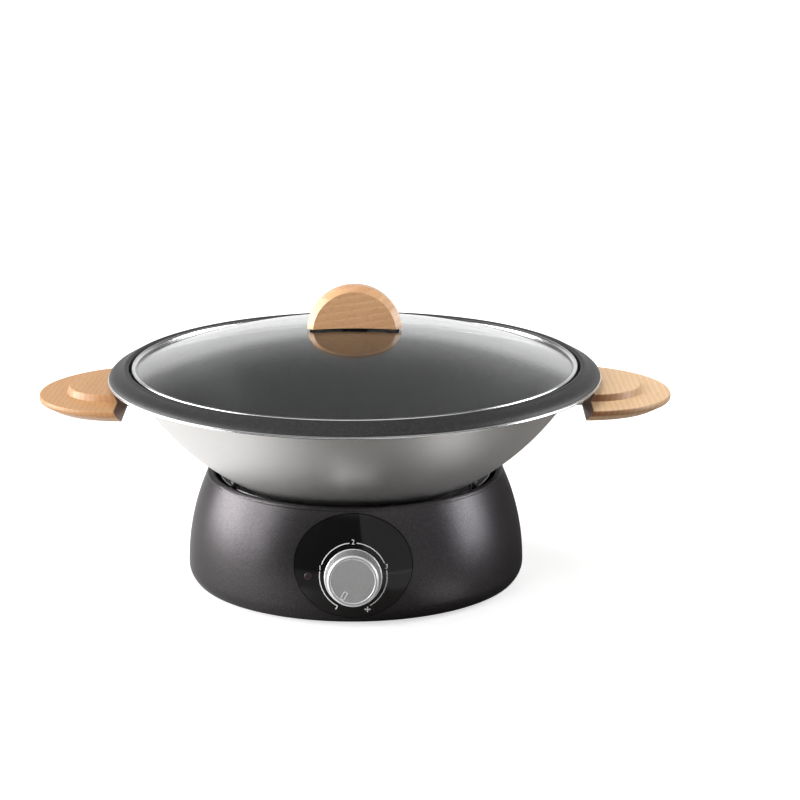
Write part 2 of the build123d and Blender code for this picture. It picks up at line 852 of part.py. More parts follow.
def wire_live():
    tab = thermostat_back + tab_length
    return wire([
        inlet_tab(0), inlet_tab(0, 10), lane(108, 8, 6), lane(139, 4, 1), lane(173), lane(207, 0, 2),
        lane(239, 4, 9), lane(256, 4, 15), behind_dial(-tab_x, 0, tab + 10), behind_dial(-tab_x, 0, tab),
    ], wire_r)


def wire_switched():
    tab = thermostat_back + tab_length
    x, y, z = element_tab(1, 10)
    return wire([
        behind_dial(tab_x, 0, tab), behind_dial(tab_x, 0, tab + 10), lane(-76, 4, 15), lane(-59, 4, 9),
        lane(-29, 0, 2), lane(6), lane(36, 6, -2), lane(65, 12, -3), (x + 2, y + 8, z - 0.6), (x, y, z),
        element_tab(1),
    ], wire_r)


def wire_neutral():
    fuse_z = dish_floor_z - dish_sheet - fuse_r
    return wire([
        inlet_tab(2), inlet_tab(2, 10), lane(78, 10.5, 21), lane(64, 26, 29), (20, fuse_y, fuse_z),
        (fuse_length / 2, fuse_y, fuse_z),
    ], wire_r)


def wire_fuse():
    fuse_z = dish_floor_z - dish_sheet - fuse_r
    x, y, z = element_tab(0, 10)
    return wire([
        (-fuse_length / 2, fuse_y, fuse_z), (-18, fuse_y, fuse_z), lane(122, 31, 22), lane(118, 20, 9),
        (x - 9, y + 2, z + 1), (x, y, z), element_tab(0),
    ], wire_r)


def wire_earth():
    x, y = terminal_place
    face = y + terminal_size[1]
    z = plate_top + terminal_size[2] / 2
    return wire([
        inlet_tab(1), inlet_tab(1, 12), lane(70, 12, 7), lane(45, 16, 4), (x, face + 12, z), (x, face, z),
    ], wire_r)


def wire_lamp():
    lead = lamp_depth() + lamp_length
    x, y = splice_place
    face = y - splice_size[1]
    z = plate_top + splice_size[2] / 2
    return wire([
        behind_dial(-lamp_offset - lamp_lead, 0, lead), behind_dial(-lamp_offset - lamp_lead, 0, lead + 10),
        lane(243, -4, 19), lane(233, 8, 15), lane(210, 18, 6), lane(184, 23, -1), (x, face - 12, z),
        (x, face, z),
    ], thin_wire_r)


def capillary():
    low = dish_floor_z - sensor_housing_depth
    return wire([
        (0, 0, low + 4), (0, 0, low - 7), lane(-73, 61, 5), lane(-76, 35, 4), lane(-82, 15, 10),
        lane(-88, 0, 21), behind_dial(0, 6, thermostat_back + 10), behind_dial(0, 6, thermostat_back),
    ], thin_wire_r)


# ---------------------------------------------------------------- pan, brackets and handles


def wok_bowl():
    inner_r = pan_sphere_r - pan_wall
    floor_top = pan_floor_z + pan_wall

    def on_sphere(radius, z):
        return (sqrt(radius ** 2 - (pan_centre_z - z) ** 2), 0, z)

    under_z = seat_z - rim_sheet
    wall_top = on_sphere(pan_sphere_r, under_z)
    wall_mid = on_sphere(pan_sphere_r, (pan_floor_z + under_z) / 2)
    inner_foot = on_sphere(inner_r, floor_top)
    inner_mid = on_sphere(inner_r, (floor_top + seat_z) / 2)
    inner_top = on_sphere(inner_r, seat_z)
    edge_low_z = flange_z - flange_edge
    bend = 0.6 * rim_sheet
    points_under = [
        wall_top,
        (recess_r + 0.6 * rim_sheet, 0, under_z + 0.3),
        (recess_r + rim_sheet, 0, under_z + bend),
        (recess_r + rim_sheet, 0, crest_z - rim_sheet - bend),
        (crest_r + bend, 0, crest_z - rim_sheet - 0.5),
        (flange_r - 0.6, 0, edge_low_z),
        (flange_r, 0, edge_low_z + 0.4),
        (flange_r, 0, flange_z - 0.2),
        (flange_r - 0.3, 0, flange_z),
    ]
    flange_top = Spline(
        (flange_r - 0.3, 0, flange_z),
        (crest_r + 0.62 * flange_width, 0, crest_z - 0.50 * flange_drop),
        (crest_r + 0.28 * flange_width, 0, crest_z - 0.25 * flange_drop),
        (crest_r, 0, crest_z),
        tangents=[(-1, 0, 1.0), (-1, 0, 0.25)],
    )
    return spin(
        Line((0, 0, pan_floor_z), (pan_floor_r, 0, pan_floor_z)),
        ThreePointArc((pan_floor_r, 0, pan_floor_z), wall_mid, wall_top),
        Polyline(*points_under),
        flange_top,
        Line((crest_r, 0, crest_z), (recess_r + 0.5, 0, crest_z - 0.3)),
        Line((recess_r + 0.5, 0, crest_z - 0.3), (recess_r, 0, crest_z - 1.0)),
        Line((recess_r, 0, crest_z - 1.0), (recess_r, 0, seat_z)),
        Line((recess_r, 0, seat_z), inner_top),
        ThreePointArc(inner_top, inner_mid, inner_foot),
        Line(inner_foot, (0, 0, floor_top)),
        Line((0, 0, floor_top), (0, 0, pan_floor_z)),
    )


def stud_plane(side_y):
    """Plane on the right-hand wall of the pan at one stud, z along the wall's normal."""
    z = seat_z - stud_below_seat
    centre = Vector(0, 0, pan_centre_z)
    on_wall = Vector(sqrt(pan_sphere_r ** 2 - side_y ** 2 - (pan_centre_z - z) ** 2), side_y, z)
    return Plane(origin=on_wall, z_dir=(on_wall - centre).normalized())


def both_sides(solids):
    """The right-hand solids and their mirror images."""
    solids = list(solids)
    return group(solids + [mirror(solid, about=Plane.YZ) for solid in solids])


stud_ys = (-stud_spacing / 2, stud_spacing / 2)
wood_screw_ys = (-wood_screw_spacing / 2, wood_screw_spacing / 2)


def bracket_right():
    ball = Pos(0, 0, pan_centre_z) * Sphere(pan_sphere_r + clearance)
    outer = Pos(0, 0, pan_centre_z) * Sphere(pan_sphere_r + clearance + bracket_sheet)
    half = bracket_width / 2
    tongue_low = -handle_thickness
    tongue_end = (tongue_reach - clearance, half, tongue_low + bracket_sheet)
    tongue = block((-handle_centre_x / 4, -half, tongue_low), tongue_end)
    low_z = handle_z - handle_thickness
    window = block((pan_sphere_r / 2, -half, low_z), (pan_sphere_r, half, seat_z - stud_below_seat + 6))
    bracket = ((outer & window) + handle_place * tongue) - ball
    for y in stud_ys:
        bracket -= stud_plane(y) * cylinder(stud_r + fit, -1, 2 * bracket_sheet)
    hole = cylinder(wood_screw_r + fit, tongue_low - 1, 0)
    for y in wood_screw_ys:
        bracket -= handle_place * Pos(wood_screw_reach, y, 0) * hole
    return bracket


def bracket_left():
    return mirror(bracket_right(), about=Plane.YZ)


def bracket_studs():
    ball = Pos(0, 0, pan_centre_z) * Sphere(pan_sphere_r)
    return both_sides(stud_plane(y) * cylinder(stud_r, -1, stud_length) - ball for y in stud_ys)


def bracket_nuts():
    low = bracket_sheet + clearance + 0.05
    hexagon = extrude(RegularPolygon(nut_flats / 2, 6, major_radius=False), amount=nut_height)
    nut = Pos(0, 0, low) * hexagon - cylinder(stud_r + clearance, low - 1, low + nut_height + 1)
    return both_sides(stud_plane(y) * nut for y in stud_ys)


def handle_screws():
    shape = Pos(0, 0, -handle_thickness) * screw(wood_screw_r, wood_screw_length, wood_head_r, wood_head)
    return both_sides(handle_place * Pos(wood_screw_reach, y, 0) * shape for y in wood_screw_ys)


def handle_right():
    waist = Pos(0, 0, -handle_waist) * Ellipse(handle_long, handle_wide)
    upper = Ellipse(handle_long - handle_top_slope, handle_wide - handle_top_slope)
    under = Ellipse(handle_long - handle_under_slope, handle_wide - handle_under_slope)
    slab = loft([waist, upper]) + loft([Pos(0, 0, -handle_thickness) * under, waist])
    slab = fillet([edge for edge in slab.edges() if abs(edge.center().Z + handle_waist) < 0.01], handle_waist_round)
    slab = fillet(slab.edges().group_by(Axis.Z)[-1], handle_round)
    base = Pos(step_centre, 0, 0) * Ellipse(step_long, step_wide)
    top = Pos(step_centre, 0, step_height) * Ellipse(step_long - step_slope, step_wide - step_slope)
    step = loft([base, top])
    step = fillet(step.edges().group_by(Axis.Z)[-1], handle_round)
    body = slab + step
    # inner face, leaning towards the pan on its way down
    reach = 3 * handle_long
    cutter = block((-reach, -reach, -reach), (0, reach, reach))
    body -= Pos(handle_chord, 0, 0) * Rot(0, handle_face_lean, 0) * cutter
    half = bracket_width / 2 + clearance
    low_corner = (-reach, -half, -handle_thickness - 1)
    body -= block(low_corner, (tongue_reach, half, -handle_thickness + bracket_sheet))
    for y in wood_screw_ys:
        hole = cylinder(wood_screw_r + clearance, -1, wood_screw_length + 0.3)
        body -= Pos(wood_screw_reach, y, -handle_thickness) * hole
    return handle_place * body


def handle_left():
    return mirror(handle_right(), about=Plane.YZ)


# ---------------------------------------------------------------- lid

screw_head_height = 2.4
washer_height = 1.6


def glass_ball(outset):
    return Pos(0, 0, glass_centre_z) * Sphere(glass_sphere_r + outset)


def glass_height(radius, outset=0.0):
    return glass_centre_z + sqrt((glass_sphere_r + outset) ** 2 - radius ** 2)


def lid_glass():
    hole = lid_screw_r + 0.6
    radii = (hole, (glass_r + hole) / 2, glass_r)
    outer = [(r, 0, glass_height(r)) for r in radii]
    inner = [(r, 0, glass_height(r, -glass_thickness)) for r in radii]
    return spin(
        ThreePointArc(*outer),
        Line(outer[2], inner[2]),
        ThreePointArc(*inner[::-1]),
        Line(inner[0], outer[0]),
    )


def lid_rim_band():
    inside = lid_r - band_sheet
    lip_in = lid_r - band_sheet - band_lip
    top = glass_height(lip_in) + clearance
    under = glass_height(glass_r, -glass_thickness)
    under_in = glass_height(lip_in - 1, -glass_thickness)
    wall = spin_polygon(
        (inside, seat_z),
        (lid_r, seat_z),
        (lid_r, seat_z + band_height - 0.3),
        (lid_r - 0.4, seat_z + band_height),
        (inside, seat_z + band_height),
    )
    upper = spin_polygon(
        (lip_in, top),
        (inside + clearance, glass_height(inside) + clearance),
        (inside + clearance, seat_z + band_height),
        (inside - 0.6, seat_z + band_height),
        (lip_in, top + band_sheet),
    )
    lower = spin_polygon(
        (lip_in - 1, under_in - clearance - 0.1),
        (inside + clearance, under - clearance - 0.1),
        (inside + clearance, under - clearance - band_sheet),
        (lip_in - 1, under_in - clearance - band_sheet),
    )
    return wall + (upper - glass_ball(clearance)) + lower


def lid_knob():
    centre_z = glass_top_z + knob_stand_off - lid_knob_cut
    half = lid_knob_width / 2
    disc = Rot(90, 0, 0) * cylinder(lid_knob_r, -half, half)
    disc = chamfer(disc.edges().filter_by(GeomType.CIRCLE), lid_knob_chamfer)
    knob = Pos(0, 0, centre_z) * disc - glass_ball(knob_stand_off)
    hole_top = glass_height(0, -glass_thickness) - washer_height + lid_screw_length + 0.5
    return knob - cylinder(lid_screw_r + clearance, glass_top_z, hole_top)


def knob_spacer():
    half_l, half_w = spacer_length / 2, spacer_width / 2
    strip = block((-half_l, -half_w, glass_top_z - 3), (half_l, half_w, glass_top_z + knob_stand_off + 1))
    strip -= cylinder(lid_screw_r + fit, glass_top_z - 4, glass_top_z + knob_stand_off + 2)
    return (strip & glass_ball(knob_stand_off)) - glass_ball(0)


def lid_washer():
    low = glass_height(0, -glass_thickness) - washer_height
    return pipe(9.0, lid_screw_r + fit, low, glass_top_z) & glass_ball(-glass_thickness)


def lid_screw():
    low = glass_height(0, -glass_thickness) - washer_height
    return Pos(0, 0, low) * screw(lid_screw_r, lid_screw_length, 5.5, screw_head_height)


# ---------------------------------------------------------------- write the pieces

pieces = [
    base_shell, control_panel, indicator_lens, indicator_lamp, control_knob, thermostat_shaft,
    thermostat_bracket, thermostat_body, thermostat_tabs, thermostat_screws, reflector_dish,
    support_pads, heating_element, element_clips, element_bushes, element_terminals, sensor_housing,
    sensor_cap, sensor_spring, capillary, dish_pillars, pillar_screws, thermal_fuse, fuse_clip,
    bottom_plate, bottom_screws, rubber_feet, appliance_inlet, inlet_pins, inlet_screws,
    terminal_block, splice_block, wire_live, wire_neutral, wire_fuse, wire_earth, wire_switched, wire_lamp,
    wok_bowl, bracket_left, bracket_right, bracket_studs, bracket_nuts, handle_screws, handle_left,
    handle_right, lid_glass, lid_rim_band, lid_knob, knob_spacer, lid_washer, lid_screw,
]

if __name__ == "__main__":
    os.makedirs("parts", exist_ok=True)
    for piece in pieces:
        export_step(piece(), f"parts/{piece.__name__}.step")
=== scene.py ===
from math import acos, asin, cos, degrees, pi, radians, sin, sqrt

import bmesh
import bpy
from mathutils import Matrix, Vector


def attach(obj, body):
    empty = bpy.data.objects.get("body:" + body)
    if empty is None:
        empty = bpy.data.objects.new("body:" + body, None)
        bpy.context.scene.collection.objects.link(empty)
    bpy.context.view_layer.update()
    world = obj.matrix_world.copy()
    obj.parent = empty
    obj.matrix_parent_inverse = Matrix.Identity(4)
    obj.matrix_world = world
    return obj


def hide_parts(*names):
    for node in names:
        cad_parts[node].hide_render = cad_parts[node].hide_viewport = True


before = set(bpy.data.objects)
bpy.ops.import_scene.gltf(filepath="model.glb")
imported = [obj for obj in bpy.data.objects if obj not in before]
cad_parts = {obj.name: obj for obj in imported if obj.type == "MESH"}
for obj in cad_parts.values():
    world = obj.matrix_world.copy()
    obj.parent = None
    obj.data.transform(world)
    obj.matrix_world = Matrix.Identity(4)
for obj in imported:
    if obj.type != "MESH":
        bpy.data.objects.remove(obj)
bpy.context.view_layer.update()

MM = 0.001

# ---------------------------------------------------------------- sizes in millimetres

# The pan: a ball-shaped wall on a flat foot, a recess for the lid, a crest and a flange sloping outwards.
PAN_FLOOR_Z = 66.005
PAN_FLOOR_R = 64.7
PAN_FOOT_ROUND = 0.8          # edge of the foot, in and up
PAN_FOOT_RISE = 0.02
PAN_FOOT_ROUND_INSIDE = 1.0
PAN_FOOT_RING = 0.5           # share of the foot's radius at which a ring of corners supports its flat
PAN_SPHERE_R = 183.2
PAN_CENTRE_Z = 237.4
PAN_WALL = 3.4
SEAT_Z = 150.005
RECESS_R = 162.011
RIM_SHEET = 2.6
CREST_R = 164.511
CREST_Z = 158.6
FLANGE_R = 176.99
FLANGE_Z = 150.205
FLANGE_EDGE = 1.5
FLANGE_LIP = 0.75             # radius of the bead along the edge
FLANGE_UNDER = ((1.5, 0.70), (1.0, 0.45))                       # in from the edge, up from its lower side
FLANGE_SLOPE = (                                                # shares of the width out and of the drop
    (0.945, 0.915), (0.90, 0.790), (0.80, 0.640), (0.62, 0.490),
    (0.45, 0.375), (0.28, 0.245), (0.16, 0.135), (0.07, 0.040))
UNDER_SEAT = ((0.9, 0.35), (1.9, 0.9), (2.6, 1.9))              # out from the recess, up from the seat's underside
UNDER_CREST = ((2.6, 1.9), (3.0, 0.9), (4.7, 0.6))              # out from the recess, down from the crest's underside
CREST_ROUND = (                                                 # out from the recess, down from the crest
    (2.5, 0.0), (1.6, 0.0), (0.8, 0.22), (0.22, 0.65), (0.0, 1.4))
SEAT_ROUND = ((0.0, 0.5), (0.15, 0.15), (0.5, 0.0))             # in from the recess, up from the seat

# The lid: a bent glass disc in a rolled steel band.
LID_R = 160.011
BAND_SHEET = 0.8
BAND_LIP = 2.6
BAND_HEIGHT = 7.9
BAND_ROLL = 1.2               # radius of the roll over the top
BAND_ROLL_UP = 0.5            # how far the roll stands above the band's height
BAND_FOOT_ROUND = 0.25
BAND_OVER_GLASS = 0.05        # gap between the glass and the lip on it
BAND_UNDER_GLASS = 0.15       # gap between the glass and the ledge that carries it
BAND_SHOULDER = ((1.9, 1.02), (2.3, 0.78))                      # in from the lid's edge, up from the roll's middle
BAND_NOSE = (                                                   # out from the lip's end, up from its foot
    (0.55, 0.80), (0.25, 0.78), (0.05, 0.55), (0.0, 0.30), (0.06, 0.0))
BAND_LEDGE = 1.0              # how much further in than the lip the ledge reaches
BAND_LEDGE_ROUND = (0.1, 0.2)                                   # out from the ledge's end, down
GLASS_R = 158.911
GLASS_THICK = 4.0
GLASS_EDGE_Z = 155.305
GLASS_TOP_Z = 183.6
GLASS_HOLE_R = 3.1
GLASS_BEVEL = (0.6, 0.55)     # ground edge, in and deep
GLASS_SPHERE_R = (GLASS_R ** 2 + (GLASS_TOP_Z - GLASS_EDGE_Z) ** 2) / (2 * (GLASS_TOP_Z - GLASS_EDGE_Z))
GLASS_CENTRE_Z = GLASS_TOP_Z - GLASS_SPHERE_R

# The housing's wall, on which the panel and the dial sit.
WALL_ARC_R = 161.878          # bulge of the housing's wall
WALL_ARC_X = -40.078          # its centre, from the axis
BELLY_Z = 12.0                # height at which the wall is widest
PANEL_PROUD = 0.3
DIAL_Z = 35.6
DIAL_FACE_R = 120.374
DIAL_LEAN = radians(8.367)
DIAL_FACE_OUT = 16.4          # knob's face in front of the panel

# The dial's print: angles in degrees run clockwise from the top.
PRINT_LOW, PRINT_HIGH = -0.04, 0.03                             # ink from under the panel's face to just above it
DIAL_RING_R = 23.3
DIAL_LINE = 0.62
DIAL_ARC_FACE = 3              # degrees for each face along an arc
DIAL_ARCS = ((-152.3, -81.5), (-69.5, -6.0), (6.0, 67.0), (79.5, 150.5))
DIAL_MINUS = (-152.0, DIAL_RING_R + 1.25, 3.0, 0.66)            # angle, radius, length, width
DIAL_PLUS = (157.0, 25.0, 4.0, 0.95)                            # the same, of each of its bars
DIAL_FIGURES = (("1", -75.5, 23.6), ("2", 0.0, 24.0), ("3", 73.3, 23.9))  # text, angle, radius
DIAL_FIGURE_SIZE = 4.6
DIAL_FIGURE_BOLDER = 0.025    # how much the print spreads past its outline

# The frame round the pointer's slot on the knob.
POINTER_R = 11.8
POINTER_TURN = radians(-149.0)
POINTER_HALF = (1.2, 2.7)     # half width and half length
POINTER_LINE = 0.26           # half width of the frame's bar
POINTER_PROUD = 0.3

RING_STEPS = 240              # faces round a spun piece
PAN_ARC_STEPS, GLASS_ARC_STEPS = 40, 36
SHARP = 40.0                  # degrees between faces from which an edge isn't smoothed
DOUBLES, SLIVERS = 1e-7, 1e-8  # metres within which corners merge and edges are dropped


# ---------------------------------------------------------------- materials

class Value:
    """A socket that takes part in sums: each operator adds its Math node."""

    def __init__(self, nodes, socket):
        self.nodes, self.socket = nodes, socket

    def __add__(self, other):
        return self.nodes.math("ADD", self, other)

    __radd__ = __add__

    def __sub__(self, other):
        return self.nodes.math("SUBTRACT", self, other)

    def __rsub__(self, other):
        return self.nodes.math("SUBTRACT", other, self)

    def __mul__(self, other):
        return self.nodes.math("MULTIPLY", self, other)

    __rmul__ = __mul__

    def __truediv__(self, other):
        return self.nodes.math("DIVIDE", self, other)

    def __pow__(self, other):
        return self.nodes.math("POWER", self, other)

    def step(self, low, high):
        """0 below low, 1 above high, smooth between; low may be the higher of the two."""
        ends = (low, high, 0.0, 1.0) if low < high else (high, low, 1.0, 0.0)
        return self.nodes.node(
            "ShaderNodeMapRange", {"interpolation_type": "SMOOTHSTEP"}, dict(enumerate((self, *ends))))


class Nodes:
    """A node tree, of a material or the world, and the ways to add to it."""

    def __init__(self, tree):
        self.tree = tree

    def feed(self, node, inputs):
        """Links or sets a node's sockets, by name or number."""
        for key, value in inputs.items():
            if isinstance(value, Value):
                self.tree.links.new(value.socket, node.inputs[key])
            else:
                node.inputs[key].default_value = value

    def node(self, kind, settings=None, inputs=None, output=0):
        """Adds a node with its settings first, and gives one of its outputs."""
        made = self.tree.nodes.new(kind)
        for key, value in (settings or {}).items():
            if key == "stops":
                stops = made.color_ramp.elements
                while len(stops) < len(value):
                    stops.new(1.0)
                for stop, (place, colour) in zip(stops, value):
                    stop.position = place
                    stop.color = colour
            else:
                setattr(made, key, value)
        self.feed(made, inputs or {})
        return Value(self, made.outputs[output])

    def math(self, operation, *values):
        return self.node("ShaderNodeMath", {"operation": operation}, dict(enumerate(values)))

    def mix(self, share, below, above, blend="MIX"):
        """Colour between two, by a share from 0 to 1."""
        settings = {"data_type": "RGBA", "blend_type": blend}
        return self.node("ShaderNodeMix", settings, {0: share, 6: below, 7: above}, 2)

    def times(self, colour, other):
        """Two colours multiplied."""
        return self.mix(1.0, colour, other, "MULTIPLY")

    def axis(self, vector, index):
        """One number of three: 0 across, 1 deep, 2 up."""
        return self.node("ShaderNodeSeparateXYZ", inputs={0: vector}, output=index)

    def along(self, normal, direction):
        """How far a normal points in a direction, from -1 to 1."""
        return self.node("ShaderNodeVectorMath", {"operation": "DOT_PRODUCT"}, {0: normal, 1: direction}, "Value")


class Finish(Nodes):
    """A material: its surface shader and the nodes that feed it."""

    def __init__(self, name, **sockets):
        self.material = bpy.data.materials.new(name)
        self.material.use_nodes = True
        super().__init__(self.material.node_tree)
        self.shader = self.tree.nodes["Principled BSDF"]
        self.put(**sockets)

    def put(self, **sockets):
        """Sets the shader's sockets, each named with _ for a space."""
        self.feed(self.shader, {key.replace("_", " "): value for key, value in sockets.items()})

    def place(self):
        return self.node("ShaderNodeTexCoord", output="Object")

    def normal(self):
        return self.node("ShaderNodeTexCoord", output="Normal")

    def painted(self, layer):
        """A number painted on the mesh."""
        return self.node("ShaderNodeAttribute", {"attribute_name": layer}, output=2)

    def turned(self, scale=(1.0, 1.0, 1.0), turn=(0.0, 0.0, 0.0)):
        """Place in millimetres, turned by degrees and then scaled."""
        turned = self.node("ShaderNodeMapping", {"vector_type": "POINT"}, {
            "Vector": self.place(), "Rotation": tuple(radians(a) for a in turn)})
        return self.node("ShaderNodeMapping", {"vector_type": "POINT"}, {
            "Vector": turned, "Scale": tuple(s / MM for s in scale)})

    def noise(self, vector, scale=1.0, detail=2.0):
        """Smooth random patches, from 0 to 1."""
        return self.node("ShaderNodeTexNoise", inputs={"Vector": vector, "Scale": scale, "Detail": detail})

    def grains(self, scale):
        """A random value for each small cell, as metal flakes have."""
        cells = self.node("ShaderNodeTexVoronoi", inputs={"Vector": self.turned(), "Scale": scale}, output=1)
        return self.axis(cells, 0)

    def clouds(self, scale, detail=2.0):
        """Soft patches on the piece, each about 1 / scale millimetres wide."""
        return self.noise(self.turned(), scale, detail)

    def bump(self, height, depth, strength=1.0):
        """Fine relief: depth in millimetres for a height from 0 to 1."""
        self.put(Normal=self.node("ShaderNodeBump", inputs={
            "Height": height, "Distance": depth * MM, "Strength": strength}))


def grey(level, warmth=0.0):
    """Neutral colour, warmer above zero and cooler below it."""
    return (level * (1 + warmth), level, level * (1 - warmth), 1.0)


def shade(red, green, blue):
    return (red, green, blue, 1.0)


def clouded(name, colour, roughness, metallic=1.0, grain=0.12, spread=0.14, relief=0.0):
    """Plain metal, plastic or ceramic: its colour and gloss vary a little in soft patches."""
    finish = Finish(name, Metallic=metallic)
    patch = finish.clouds(grain, detail=3.0)
    light = shade(*(min(1.0, c * (1 + spread)) for c in colour[:3]))
    dark = shade(*(c * (1 - spread) for c in colour[:3]))
    finish.put(Base_Color=finish.mix(patch, dark, light), Roughness=roughness * (0.8 + 0.4 * patch))
    if relief:
        finish.bump(finish.clouds(4 * grain), relief)
    return finish


def turned_steel(name, colour, roughness, lines=5.0):
    """Sheet steel with fine lines round the axis, as spinning and polishing leave them."""
    finish = Finish(name, Metallic=1.0)
    spot = finish.turned()
    across, deep = finish.axis(spot, 0), finish.axis(spot, 1)
    radius = (across * across + deep * deep) ** 0.5
    place = finish.node("ShaderNodeCombineXYZ", inputs={0: radius, 1: finish.axis(spot, 2)})
    fine = finish.noise(place, lines, detail=3.0)
    finish.put(
        Base_Color=finish.mix(fine, grey(colour * 0.88), grey(min(1.0, colour * 1.06))),
        Roughness=roughness * (0.75 + 0.3 * fine + 0.2 * finish.clouds(0.03)),
    )
    finish.bump(fine, depth=0.003)
    return finish


def housing_finish():
    """Near-black lacquer with very fine metal flakes."""
    finish = Finish("housing", Metallic=0.9, Specular_Tint=grey(0.55))
    flakes = finish.grains(scale=3.2)
    finish.put(
        Base_Color=finish.mix(flakes ** 3, shade(0.058, 0.054, 0.057), shade(0.112, 0.106, 0.111)),
        Roughness=0.30 + 0.06 * finish.clouds(0.02),
    )
    finish.bump(flakes, depth=0.003)
    return finish


def panel_finish():
    """Black gloss lacquer, polished flat."""
    finish = Finish("gloss_black", Coat_Weight=0.15, Coat_Roughness=0.02)
    clouds = finish.clouds(0.05)
    finish.put(Base_Color=finish.mix(clouds, grey(0.004), grey(0.007)), Roughness=0.06 + 0.03 * clouds)
    return finish


def lens_finish():
    """Unlit pilot lens: dark smoked red, with fine cross ribs moulded behind it."""
    finish = Finish("lamp_lens", Coat_Weight=0.5, Coat_Roughness=0.04)
    spot = finish.turned()
    ribs_per_mm = 12.0
    ribs = finish.math("SINE", ribs_per_mm * finish.axis(spot, 0)) * finish.math(
        "SINE", ribs_per_mm * finish.axis(spot, 2))
    finish.put(
        Base_Color=finish.mix(0.5 + 0.5 * ribs, shade(0.020, 0.014, 0.017), shade(0.040, 0.026, 0.032)),
        Roughness=0.22 + 0.05 * ribs,
    )
    return finish


def knob_finish():
    """Satin silver paint with a very fine grain; its edge between face and side is painted near white, a painted
    highlight.
    """
    finish = Finish("satin_silver")
    grain, clouds = finish.grains(scale=2.4), finish.clouds(0.3)
    facing = finish.along(finish.normal(), (0.0, -cos(DIAL_LEAN), sin(DIAL_LEAN)))
    # Painted highlight: faces leaning between the front and the side are painted near white and less metallic.
    edge = facing.step(0.25, 0.5) * facing.step(0.985, 0.93)
    satin = finish.mix(0.7 * grain + 0.3 * clouds, grey(0.61), grey(0.76))
    finish.put(
        Base_Color=finish.mix(edge, satin, grey(0.97)),
        Metallic=0.65 - 0.45 * edge,
        Roughness=0.30 + 0.08 * clouds,
    )
    finish.bump(grain, depth=0.004)
    return finish


def pan_finish():
    """Silver lacquer outside, dark flecked non-stick coat inside, bare turned metal on the edge."""
    finish = Finish("pan_silver", Specular_IOR_Level=0.4)
    coat, bare = finish.painted("coat"), finish.painted("bare")
    grain, flecks = finish.grains(scale=2.8), finish.grains(scale=2.4) ** 6
    clouds = finish.clouds(0.03, detail=3.0)
    silver = finish.mix(0.6 * grain + 0.4 * clouds, grey(0.64, 0.010), grey(0.74, 0.010))
    lining = finish.mix(flecks, finish.mix(clouds, grey(0.021), grey(0.027)), grey(0.075))
    painted = finish.mix(coat, silver, lining)
    finish.put(
        Base_Color=finish.mix(bare, painted, grey(0.82)),
        Metallic=finish.math("MAXIMUM", bare, 0.92 * (1 - coat) + (0.10 + 0.2 * flecks) * coat),
        Roughness=(0.44 + 0.05 * clouds) * (1 - bare) + 0.18 * bare,
    )
    finish.bump(grain * (1 - bare), depth=0.010)
    return finish


BEECH_RINGS = (               # across one ring, from one late wood to the next
    (0.00, shade(0.66, 0.41, 0.225)),
    (0.07, shade(0.77, 0.53, 0.33)),
    (0.17, shade(0.68, 0.43, 0.24)),
    (0.78, shade(0.60, 0.36, 0.19)),
    (1.00, shade(0.66, 0.41, 0.225)),
)
BEECH_STREAK = shade(0.86, 0.66, 0.46)
BEECH_PATCH = shade(0.56, 0.33, 0.17)
BEECH_RAY = shade(0.32, 0.145, 0.065)
# Brown for one side of each wooden piece: partly real browning, partly painted shade.
BEECH_BROWNED_AND_SHADED = shade(0.125, 0.055, 0.030)


def beech(name, turn, pitch, grain, darkened_facing, browned_and_shaded, light_and_shade_tint, ends, soaked_and_shaded, coat):
    """Oiled beech. In the turned place x runs along the grain and y across the rings, a pitch apart.
    Ends show the rings more and darken by a share, partly oil that soaks in and partly painted shade.
    One chosen side turns brown, partly real browning and partly painted shade, and the whole piece is written lighter
    or darker as painted light and shade."""
    finish = Finish(name, Specular_IOR_Level=0.3, Coat_Weight=coat, Coat_Roughness=0.20)
    warp = finish.noise(finish.turned((0.010, 0.04, 0.04), turn))
    rings = finish.axis(finish.turned(turn=turn), 1) / pitch + 1.4 * warp
    band = finish.node("ShaderNodeValToRGB", {"stops": BEECH_RINGS}, {0: finish.math("FRACT", rings)})
    streaks = finish.noise(finish.turned((0.05, 1.8, 1.8), turn), detail=3.0)
    patches = finish.noise(finish.turned((0.012, 0.05, 0.05), turn), scale=1.6)
    rays = finish.noise(finish.turned((0.32, 1.5, 1.5), turn), detail=1.0).step(0.60, 0.70)
    wood = finish.mix(0.30 * streaks, band, BEECH_STREAK)
    wood = finish.mix(0.60 * patches, wood, BEECH_PATCH)
    wood = finish.mix(0.42 * rays, wood, BEECH_RAY)
    normal = finish.normal()
    endwise = finish.along(normal, grain)
    # Grain ends darker: partly oil that soaks in, partly painted shade, most of it on the right handle's front walls.
    wood = finish.mix(soaked_and_shaded * endwise * endwise, wood, finish.times(finish.times(wood, wood), shade(*ends)))
    # One chosen side darker brown: partly real browning, partly painted shade (the handles' inner faces, the knob's
    # top).
    browned_and_shaded_side = finish.along(normal, darkened_facing).step(0.55, 0.85)
    wood = finish.mix(browned_and_shaded * browned_and_shaded_side, wood, BEECH_BROWNED_AND_SHADED)
    # The per-piece colour factor paints light and shade: each piece is written lighter or darker.
    finish.put(Base_Color=finish.times(wood, shade(*light_and_shade_tint)), Roughness=0.46 + 0.10 * streaks)
    finish.bump(streaks - 0.6 * rays, depth=0.05, strength=0.5)
    return finish


def glass_finish():
    """Clear soda glass."""
    finish = Finish("clear_glass", Transmission_Weight=1.0, IOR=1.5, Roughness=0.0)
    clouds = finish.clouds(0.01, detail=1.0)
    finish.put(Base_Color=finish.mix(clouds, shade(0.90, 0.92, 0.91), shade(0.92, 0.935, 0.93)))
    return finish


